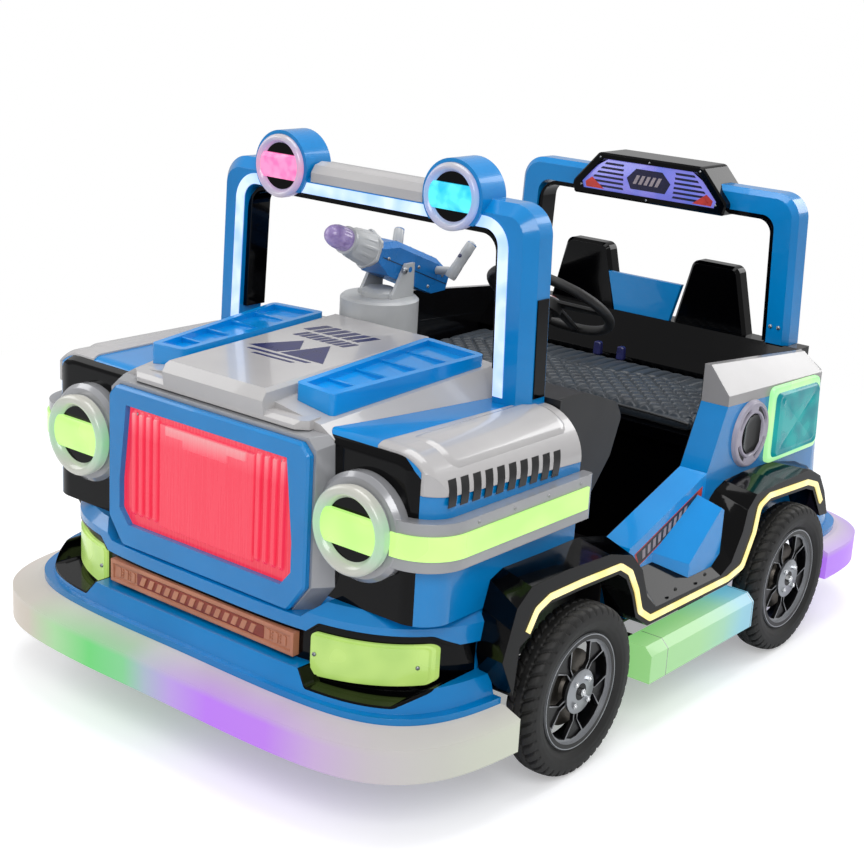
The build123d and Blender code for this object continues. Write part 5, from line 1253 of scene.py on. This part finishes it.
class OBJECT_OT_car_speakers(CarStep, bpy.types.Operator):
    """Loudspeaker rings with four slots and an eight-sided black middle"""
    bl_idname = "object.car_speakers"
    bl_label = "Loudspeakers"

    def build(self, scene):
        low, high = box_mm("speakers")
        radius = (high[2] - low[2]) / 2
        centre = np.array([high[0], (low[1] + high[1]) / 2, high[2] - radius])
        self.make_ring(centre, radius, high[0] - 600.0)
        self.make_middle(centre, radius)

    def make_ring(self, centre, radius, thick):
        """Height over polar coordinates: full in the ring, down in four slots on the
        diagonals, stepped near the edges."""
        soft, step, slot_low, slot_high, lip, edge = 0.012, 0.6, 0.7, 0.83, 0.93, 0.985
        slot_half_angle, slot_depth, lip_drop, edge_drop = 0.46, 7.0, 1.6, 2.5
        r = knots(0.0, 1.0, 24, [0.1, 0.58, 0.62, slot_low, slot_high, lip], soft)[:, None]
        angle = np.linspace(0, 2 * np.pi, 144, endpoint=False)[None, :]
        off = np.abs(((angle - np.pi / 4) % (np.pi / 2) + np.pi / 4) % (np.pi / 2) - np.pi / 4)
        slot = between(r, slot_low, slot_high, soft) * (1 - rise(off, slot_half_angle, 0.03))
        height = thick * (0.3 + 0.7 * rise(r, step, 0.02)) - lip_drop * rise(r, lip, soft)
        height = height - slot_depth * slot - edge_drop * rise(r, edge, soft)
        height = np.where(r > 0.999, -thick, height - thick)
        points = np.stack([centre[0] + height + 0 * angle, centre[1] + radius * r * np.cos(angle),
                           centre[2] + radius * r * np.sin(angle)], axis=-1)
        rows, columns = points.shape[:2]
        back = np.tile(centre - [thick, 0, 0], (1, columns, 1))
        grid = np.concatenate([points, back])
        part = (grid.reshape(-1, 3), [grid_faces(rows + 1, columns, False, True)])
        make_piece("speaker_rings", pair(part), "speaker", replaces=["speakers"], sharp=35.0)

    def make_middle(self, centre, radius):
        """Eight-sided grille cloth, wider than a dome at its rim, and the slots' dark floor."""
        high, wide, cut = 0.56 * radius, 0.49 * radius, 0.24 * radius
        outline = [(wide, high - cut), (wide - cut, high), (cut - wide, high), (-wide, high - cut),
                   (-wide, cut - high), (cut - wide, -high), (wide - cut, -high),
                   (wide, cut - high)]
        outline = np.array(outline) + centre[1:]
        face = on_left(centre[0])
        cloth = raised(outline, [(0, -9), (0, -3), (2, -1.5), (8, -3.5), (22, -5)], face)
        floor = lathe([(-8.0, 0.0), (-8.0, 0.86 * radius), (-6.2, 0.86 * radius), (-6.2, 0.0)],
                      centre, "X", 64)
        make_piece("speaker_cloth", pair(cloth), "black")
        make_piece("speaker_slots", pair(floor), "dash")


class OBJECT_OT_car_tail_lamps(CarStep, bpy.types.Operator):
    """Side tail lamps: faceted teal lens in a bright green surround"""
    bl_idname = "object.car_tail_lamps"
    bl_label = "Tail lamps"

    def build(self, scene):
        # Corners of the surround as (station, z), as the CAD model has them.
        outline = np.array([(1587.0, 502.0), (1873.0, 498.0), (1855.0, 704.0), (1583.0, 712.0)])
        body = 600.0
        rim_outline = rounded(outline, 24, 7)
        levels = [(0, -10), (0, 8), (1.5, 11), (4, 12), (14, 12)]
        make_piece("tail_lamp_surrounds", pair(raised(rim_outline, levels, on_left(body))),
                   "tail_rim", replaces=["tail_lamps"])
        lens_outline = rounded(drawn_in(outline, 15), 22, 7) + [4.0, -2.0]
        make_piece("tail_lamp_lenses", pair(self.faceted(lens_outline, body)), "teal",
                   replaces=["tail_lamps"], sharp=12.0)

    def faceted(self, outline, body):
        """Rings of the outline drawn to its middle. The height is a low crown, minus the
        valleys |u| = |v| of an X, plus four bosses near the corners."""
        middle = outline.mean(axis=0)
        half = np.abs(outline - middle).max(axis=0)
        share = np.array([1.0, 0.97, 0.93, 0.86, 0.78, 0.7, 0.6, 0.5, 0.4, 0.3, 0.2, 0.1,
                          0.0])[:, None, None]
        grid = middle + share * (outline - middle)[None]
        u, v = np.abs((grid - middle) / half).transpose(2, 0, 1)
        sheet, foot_x, valley_depth, boss_height = body + 12.0, body + 9.0, 4.5, 3.5
        crown = np.array([0.0, 5.0, 9.0, 10.5] + [11.5] * 9)[:, None]
        valley = np.clip(1 - np.abs(u - v) / 0.3, 0, 1) * (share[..., 0] < 0.9)
        boss = np.clip(1 - np.hypot(u - 0.74, v - 0.72) / 0.12, 0, 1)
        x = sheet + crown - valley_depth * valley + boss_height * boss
        top = np.stack([x, grid[..., 0], grid[..., 1]], axis=-1)
        foot = np.column_stack([np.full(len(outline), foot_x), outline])[None]
        base = np.tile([[foot_x, *middle]], (len(outline), 1))[None]
        rows = np.concatenate([base, foot, top])
        return rows.reshape(-1, 3), [grid_faces(len(rows), len(outline), False, True)]


class OBJECT_OT_car_seat(CarStep, bpy.types.Operator):
    """Quilted bench cushion, its welt and the belt buckles"""
    bl_idname = "object.car_seat"
    bl_label = "Seat"

    def build(self, scene):
        settings = scene.car_seat
        low, high = box_mm("seat_cushion")
        cushion = self.start_shape(low, high)
        self.remesh(cushion, 6.0)
        self.swell(cushion, pressure=4.0, cap=9.0)
        self.subdivide(cushion)
        self.quilt(cushion, low, high, settings)
        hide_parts("seat_cushion")
        self.make_welt(low, high)
        self.make_buckles(high)

    def start_shape(self, low, high):
        """Slab whose top is crowned by (1 - u^6)(1 - v^6) and whose sides pull in between
        the corners by a few millimetres."""
        u = np.sin(np.linspace(-1, 1, 61) * np.pi / 2)[:, None]
        v = np.sin(np.linspace(-1, 1, 31) * np.pi / 2)[None, :]
        middle, half = (low + high) / 2, (high - low) / 2
        x = middle[0] + u * (half[0] - 8 - 3 * (1 - v ** 2))
        station = middle[1] + v * (half[1] - 8 - 2 * (1 - u ** 2))
        top = low[2] + 22 + 13 * (1 - u ** 6) * (1 - v ** 6)
        front = np.stack([x, station, top], axis=-1)
        back = np.stack([x, station, low[2] + 1.0 + 0 * top], axis=-1)
        return make_piece("seat_cushion_pad", closed_sheet(front, back), "seat")

    def apply(self, obj):
        """Bakes the object's modifiers into its mesh."""
        graph = bpy.context.evaluated_depsgraph_get()
        mesh = bpy.data.meshes.new_from_object(obj.evaluated_get(graph))
        obj.modifiers.clear()
        obj.data = mesh

    def remesh(self, obj, voxel_mm):
        remesh = obj.modifiers.new("remesh", "REMESH")
        remesh.mode = "VOXEL"
        remesh.voxel_size = voxel_mm * MM
        self.apply(obj)

    def points(self, obj):
        flat = np.zeros(len(obj.data.vertices) * 3)
        obj.data.vertices.foreach_get("co", flat)
        return flat.reshape(-1, 3)

    def swell(self, obj, pressure, cap):
        """Cloth under pressure for 20 frames, with each point's way held below cap."""
        before = self.points(obj)
        cloth = obj.modifiers.new("cloth", "CLOTH")
        cloth.settings.quality = 4
        cloth.settings.use_pressure = True
        cloth.settings.uniform_pressure_force = pressure
        cloth.settings.effector_weights.gravity = 0.0
        scene = bpy.context.scene
        for frame in range(1, 21):
            scene.frame_set(frame)
        self.apply(obj)
        scene.frame_set(1)
        way = self.points(obj) - before
        length = np.linalg.norm(way, axis=1, keepdims=True)
        way *= np.minimum(1.0, cap * MM / np.maximum(length, 1e-9))
        obj.data.vertices.foreach_set("co", (before + way).ravel())
        obj.data.update()

    def subdivide(self, obj):
        finer = obj.modifiers.new("subdivide", "SUBSURF")
        finer.levels = 1
        finer.render_levels = 1
        self.apply(obj)

    def quilt(self, obj, low, high, settings):
        """Sews the top: straight channels in the rear part, diamonds in the front part, with
        a bowed seam between. Height falls with exp(-(distance / width)^2) at each seam and
        swells between them."""
        place = (self.points(obj) - [0.0, FRONT_TIP, 0.0]) / MM
        normals = np.zeros(len(place) * 3)
        obj.data.vertices.foreach_get("normal", normals)
        upward = np.clip((normals.reshape(-1, 3)[:, 2] - 0.35) / 0.4, 0, 1)
        x, station, z = place.T
        depth = high[1] - low[1]
        share = (station - low[1]) / depth
        border_share, bow, bow_mm, lip_share, soft = 0.6, 0.08, 250.0, 0.07, 0.01
        border = border_share - bow * np.cos(np.pi * x / bow_mm)
        pitch, width = settings.quilt_pitch, 3.6

        def seam(value):
            off = np.abs((value / pitch + 0.5) % 1.0 - 0.5) * pitch
            return np.exp(-(off / width) ** 2), np.sqrt(np.clip(off / (pitch / 2), 0, 1))

        first, puff_a = seam(x + station)
        second, puff_b = seam(x - station)
        channel, puff_c = seam(x * 1.25)
        rear = np.clip((share - border) / soft + 0.5, 0, 1)
        sewn = (1 - rear) * np.maximum(first, second) + rear * channel
        puff = (1 - rear) * np.sqrt(puff_a * puff_b) + rear * puff_c
        dividing = np.exp(-((share - border) * depth / width) ** 2)
        lip = np.exp(-((share - lip_share) * depth / width) ** 2)
        inside = np.clip((share - lip_share) / soft + 0.5, 0, 1) * (np.abs(x) < high[0] - 22)
        sewn = np.maximum(np.maximum(sewn * inside, dividing), lip)
        puff_mm, highest = 3.0, high[2] + 5.0
        z = z + upward * (puff_mm * puff * inside - settings.seam_depth * sewn)
        z = np.minimum(z, highest)
        moved = np.column_stack([x, station, z]) * MM + [0.0, FRONT_TIP, 0.0]
        obj.data.vertices.foreach_set("co", moved.ravel())
        obj.data.update()
        obj.data.shade_smooth()

    def make_welt(self, low, high):
        """Piping along the cushion's front edge, bowed with it."""
        x = np.linspace(-1, 1, 60)
        path = np.column_stack([x * (high[0] - 14), low[1] + 8 + 4 * x ** 8,
                                high[2] - 14 - 6 * x ** 8])
        make_piece("seat_welt", swept(path, np.full(60, 3.5), 10), "seat_edge")

    def make_buckles(self, high):
        """Two belt buckles standing on short straps from the rear gap."""
        reach = 46
        along = np.linspace(0, 1, 12)[:, None]
        side = np.linspace(-11, 11, 3)[None, :]
        station = high[1] + 2 - reach * along + 0 * side
        height = high[2] - 6.5 + 14 * np.sin(along * np.pi / 2) + 0 * side
        buckles, straps = [], []
        for x in (-40.0, 40.0):
            outline = rounded([(x - 13, high[2]), (x + 13, high[2]), (x + 11, high[2] + 40),
                               (x - 11, high[2] + 40)], 7)
            buckles.append(raised(outline, [(3, -9), (0, -6), (0, 6), (3, 9)],
                                  on_front(high[1] - reach)))
            top = np.stack([x + side + 0 * along, station, height], axis=-1)
            straps.append(closed_sheet(top, top - [0, 0, 2.5]))
        make_piece("belt_buckles", merged(buckles), "navy_film")
        make_piece("belt_straps", merged(straps), "seat_edge")


class OBJECT_OT_car_toy_gun(CarStep, bpy.types.Operator):
    """Toy gun: clear dome, ribbed collar, hexagon plate, grips, badge and screws"""
    bl_idname = "object.car_toy_gun"
    bl_label = "Toy gun"

    def build(self, scene):
        self.make_muzzle()
        self.make_grips()
        self.make_badge()
        self.make_yoke_cone()

    def make_on_gun(self, name, part, finish, sharp=40.0):
        """Piece from a part in the gun's own coordinates: x across, y along the barrel to the
        rear, z up, from the trunnion."""
        make_piece(name, tilted(part, GUN_PITCH_DEG, GUN_PLACE), finish, "gun_body", sharp=sharp)

    def make_muzzle(self):
        """Turned shells over the CAD nose: a fluted dome and a collar with twelve ribs."""
        axis_z = 14.0

        def flutes(along, radius, angle):
            share = between(along, -238.0, -204.0, 4.0)
            return radius + 1.5 * share * (np.sin(14 * angle) > 0)

        dome = [(-199, 0), (-199, 27.8), (-205, 27.8), (-222, 27.7), (-238, 27.4), (-246, 25.8),
                (-254, 22.6), (-260, 18.2), (-264.5, 12), (-267, 6), (-267.4, 0)]
        self.make_on_gun("gun_dome", lathe(dome, (0, 0, axis_z), "Y", 84, flutes), "gun_dome", 30.0)

        def ribs(along, radius, angle):
            share = between(along, -176.0, -128.0, 3.0)
            return radius + 2.0 * share * (np.cos(12 * angle) > 0.35)

        collar = [(-106, 0), (-106, 43), (-121, 43), (-123, 43), (-130, 41.8), (-150, 39.4),
                  (-174, 36.6), (-180, 35), (-191.5, 31.2), (-191.8, 34), (-200.4, 34),
                  (-200.8, 31.5), (-200.8, 0)]
        self.make_on_gun("gun_collar", lathe(collar, (0, 0, axis_z), "Y", 96, ribs), "gun_white",
                         30.0)
        turn = 0.52
        hexagon = circle(51.0, 6) @ np.array([[math.cos(turn), math.sin(turn)],
                                              [-math.sin(turn), math.cos(turn)]])
        plate = raised(rounded(hexagon + [0, axis_z], 6), [(3, 0), (0, 3), (0, 10), (2, 12)],
                       on_front(-110.0))
        self.make_on_gun("gun_plate", plate, "gun_white")

    def make_grips(self):
        """White handles over the CAD rods, narrowing upwards to a domed end."""
        parts = []
        for out in (-1, 1):
            start, end = np.array([out * 92, 118, 20.0]), np.array([out * 120, 128, 112.0])
            share = np.array([-0.07, -0.06, 0.0, 0.3, 0.34, 0.5, 0.66, 0.7, 0.97, 1.03, 1.06])
            radius = np.array([0.5, 13.5, 15, 14.4, 13.6, 13.8, 13.6, 14.2, 13.4, 10, 0.5])
            parts.append(swept(start + share[:, None] * (end - start), radius, 24,
                               side=(1.0, 0.0, 0.0)))
            start, end = np.array([out * 30, 120, 26.0]), np.array([out * 92, 120, 33.5])
            share = np.linspace(0, 1, 5)[:, None]
            parts.append(swept(start + share * (end - start), np.full(5, 10.8), 20))
        self.make_on_gun("gun_grips", merged(parts), "gun_white")
        buttons = [socket_screw((out * 107, 112, 74.0), (0, -1, 0.1), 6.0) for out in (-1, 1)]
        self.make_on_gun("gun_triggers", merged(buttons), "navy_film")

    def make_badge(self):
        """Pale oval let into the top, screws in the sides and the top, and a dark seam along
        each side."""
        oval = circle(1.0, 40) * [26.0, 13.0] + [2.0, 70.0]
        badge = raised(oval, [(0, 54), (0, 57.2), (1.5, 58.2), (3.5, 57.0)], on_top(0.0))
        self.make_on_gun("gun_badge", badge, "gun_white")
        side_face, top_face = 44.2, 56.2
        screws = [socket_screw((out * side_face, y, z), (out, 0, 0), 4.6) for out in (-1, 1)
                  for y, z in ((-78, 6), (-20, -20), (44, 16), (100, -20), (146, 20))]
        screws += [socket_screw((x, y, top_face), (0, 0, 1), 3.6)
                   for y in (-36, 16, 106) for x in (-20, 24)]
        self.make_on_gun("gun_screws", merged(screws), "zinc")
        seam = [(-100, 2.5), (170, 2.5), (170, 4.5), (-100, 4.5)]
        lines = raised(seam, [(0, 43.5), (0, 44.5)], on_left(0.0))
        self.make_on_gun("gun_seams", pair(lines), "black_film")

    def make_yoke_cone(self):
        """Low ribbed foot on the turning disc, clear of the gun when it pitches, and the caps
        of the trunnion."""
        low, high = box_mm("gun_yoke")
        disc_z = low[2] + 10
        centre = (low + high) / 2
        spot = (GUN_PLACE[0], YOKE_STATION, 0.0)

        def ribs(along, radius, angle):
            share = between(along, disc_z + 2, disc_z + 9, 1.0)
            return radius + 1.6 * share * (np.cos(20 * angle) > 0.2)

        cone = [(disc_z - 2, 0), (disc_z - 2, 46), (disc_z + 2, 45), (disc_z + 6, 40),
                (disc_z + 10.5, 33), (disc_z + 11, 31), (disc_z + 11, 0)]
        make_piece("gun_foot", lathe(cone, spot, "Z", 120, ribs), "gun_white", "gun_yoke",
                   sharp=30.0)
        caps_x, caps_behind = 55.5, 18
        screws = [socket_screw((centre[0] + out * caps_x, centre[1] + caps_behind, GUN_PLACE[2]),
                               (out, 0, 0), 9.0) for out in (-1, 1)]
        make_piece("gun_trunnion_caps", merged(screws), "zinc", "gun_yoke")


class OBJECT_OT_car_steering(CarStep, bpy.types.Operator):
    """Steering wheel with a round grip, three spokes, a horn pad and a button"""
    bl_idname = "object.car_steering"
    bl_label = "Steering wheel"

    def build(self, scene):
        body = "steering_wheel"
        radius, grip, waist = 165.0, 13.0, 0.8
        angle = np.linspace(0, 2 * np.pi, 120, endpoint=False)
        path = np.column_stack([radius * np.cos(angle), radius * np.sin(angle), 0 * angle])
        swelling = grip - waist * np.exp(-((np.degrees(angle) % 90 - 45) / 5.0) ** 2)
        parts = [swept(path, swelling, 20, True)]
        for turn in np.radians([0, 90, 180]):
            spoke = rounded([(20, -18), (radius - 4, -11), (radius - 4, 11), (20, 18)], 4, 4)
            bar = raised(spoke, [(2, -9.4), (0, -8), (0, -1.2), (2, 0.4)], on_top(0.0))
            spin = [(math.cos(turn), math.sin(turn), 0), (-math.sin(turn), math.cos(turn), 0),
                    (0, 0, 1)]
            parts.append(turned(bar, spin, (0, 0, 0)))
        hub = [(-29.5, 0), (-29.5, 38.6), (-4, 38.6), (1, 34), (3, 28), (3.4, 0)]
        parts.append(lathe(hub, (0, 0, 0), "Z", 64))
        make_piece("steering_wheel_grip", tilted(merged(parts), WHEEL_TILT_DEG, WHEEL_PLACE),
                   "grip", body, ["steering_wheel"])
        pad = lathe([(2.5, 0), (2.5, 25), (5.5, 25), (7.5, 22), (8.2, 12), (8.4, 0)], (0, 0, 0),
                    "Z", 48)
        make_piece("horn_button", tilted(pad, WHEEL_TILT_DEG, WHEEL_PLACE), "red_film", body)
        ring = lathe([(2.0, 26), (2.0, 30), (4.5, 29.4), (4.5, 26.6)], (0, 0, 0), "Z", 48)
        make_piece("horn_ring", tilted(ring, WHEEL_TILT_DEG, WHEEL_PLACE), "zinc", body)


class OBJECT_OT_car_small_parts(CarStep, bpy.types.Operator):
    """Seams of the side light boxes, dash controls and small fasteners"""
    bl_idname = "object.car_small_parts"
    bl_label = "Small parts"

    def build(self, scene):
        self.make_box_seams()
        self.make_dash_controls()
        self.make_bar_fasteners()

    def make_box_seams(self):
        """Thin line round each light box near both ends, where its caps are welded on."""
        low, high = box_mm("side_light_boxes")
        inner, bevel, proud, half_width = 645.0, 20.0, 0.05, 1.2
        section = np.array([(inner, low[2]), (high[0], low[2]), (high[0], high[2] - bevel),
                            (high[0] - bevel, high[2]), (inner, high[2])])
        levels = [(-proud, -half_width), (-proud, half_width)]
        parts = [raised(section, levels, on_front(station))
                 for station in (low[1] + 74, high[1] - 6)]
        make_piece("side_box_seams", pair(merged(parts)), "silver")

    def make_dash_controls(self):
        """Panel with a display and two push buttons on the dashboard's sloping top."""
        low, high = box_mm("dashboard")
        start, end = (low[1] + 112.0, high[2] - 4.0), (low[1] + 252.0, high[2] - 52.0)
        slope = (end[1] - start[1]) / (end[0] - start[0])
        face = on_top(start[1], slope, start[0])
        foot = [0.0, start[0]]
        pod = rounded([(-60, 20), (60, 20), (60, 100), (-60, 100)], 14) + foot
        make_piece("dash_panel", raised(pod, [(0, -3), (0, 5), (3, 8)], face), "speaker")
        screen = rounded([(-48, 30), (14, 30), (14, 90), (-48, 90)], 5) + foot
        make_piece("dash_display", raised(screen, [(0, 7), (0, 8.6)], face), "black")
        for index, (spot, finish) in enumerate((((36, 44), "lime"), ((36, 76), "magenta"))):
            button = raised(circle(11) + spot + foot, [(0, 7), (0, 10), (2, 12)], face)
            make_piece(f"dash_button_{index + 1}", button, finish)

    def make_bar_fasteners(self):
        """Bolts that hold the flares and the roll bar."""
        high = box_mm("fender_flares")[1]
        parts = [socket_screw((high[0] - 0.5, station, 322.0), (1, 0, 0), 5.0)
                 for station in (1040.0, 1180.0)]
        make_piece("flare_bolts", pair(merged(parts)), "dash")
        low, high = box_mm("roll_bar")
        feet = [socket_screw((high[0] - inset, low[1] - 0.3, 800.0), (0, -1, 0), 6.0)
                for inset in (55, 30)]
        make_piece("roll_bar_bolts", pair(merged(feet)), "zinc")


class VIEW3D_PT_car(bpy.types.Panel):
    """Buttons for each group of pieces"""
    bl_label = "Bumper Car"
    bl_idname = "VIEW3D_PT_car"
    bl_space_type = "VIEW_3D"
    bl_region_type = "UI"
    bl_category = "Bumper Car"

    def draw(self, context):
        for step in STEPS:
            self.layout.operator(step)


# Places (x, station, z) and tilts of the toy gun and the steering wheel, as in the CAD model
GUN_PLACE, YOKE_STATION, GUN_PITCH_DEG = (-98.0, 854.0, 1003.0), 806.0, 21.0
WHEEL_PLACE, WHEEL_TILT_DEG = (140.0, 1207.0, 912.0), 34.6

GROUPS = {"car_stage": CarStageSettings, "car_paint": CarPaintSettings,
          "car_tyres": CarTyreSettings, "car_seat": CarSeatSettings}
OPERATORS = (OBJECT_OT_car_stage, OBJECT_OT_car_finishes, OBJECT_OT_car_tyres,
             OBJECT_OT_car_round_lamps, OBJECT_OT_car_grille, OBJECT_OT_car_nose_trim,
             OBJECT_OT_car_decals, OBJECT_OT_car_speakers, OBJECT_OT_car_tail_lamps,
             OBJECT_OT_car_seat, OBJECT_OT_car_toy_gun, OBJECT_OT_car_steering,
             OBJECT_OT_car_small_parts)
STEPS = tuple(operator.bl_idname for operator in OPERATORS)
CLASSES = (*GROUPS.values(), *OPERATORS, VIEW3D_PT_car)


def register():
    for item in CLASSES:
        bpy.utils.register_class(item)
    for name, group in GROUPS.items():
        setattr(bpy.types.Scene, name, bpy.props.PointerProperty(type=group))


def unregister():
    for name in GROUPS:
        delattr(bpy.types.Scene, name)
    for item in reversed(CLASSES):
        bpy.utils.unregister_class(item)


def main():
    register()
    for step in STEPS:
        group, name = step.split(".")
        getattr(getattr(bpy.ops, group), name)()


if __name__ == "__main__":
    main()
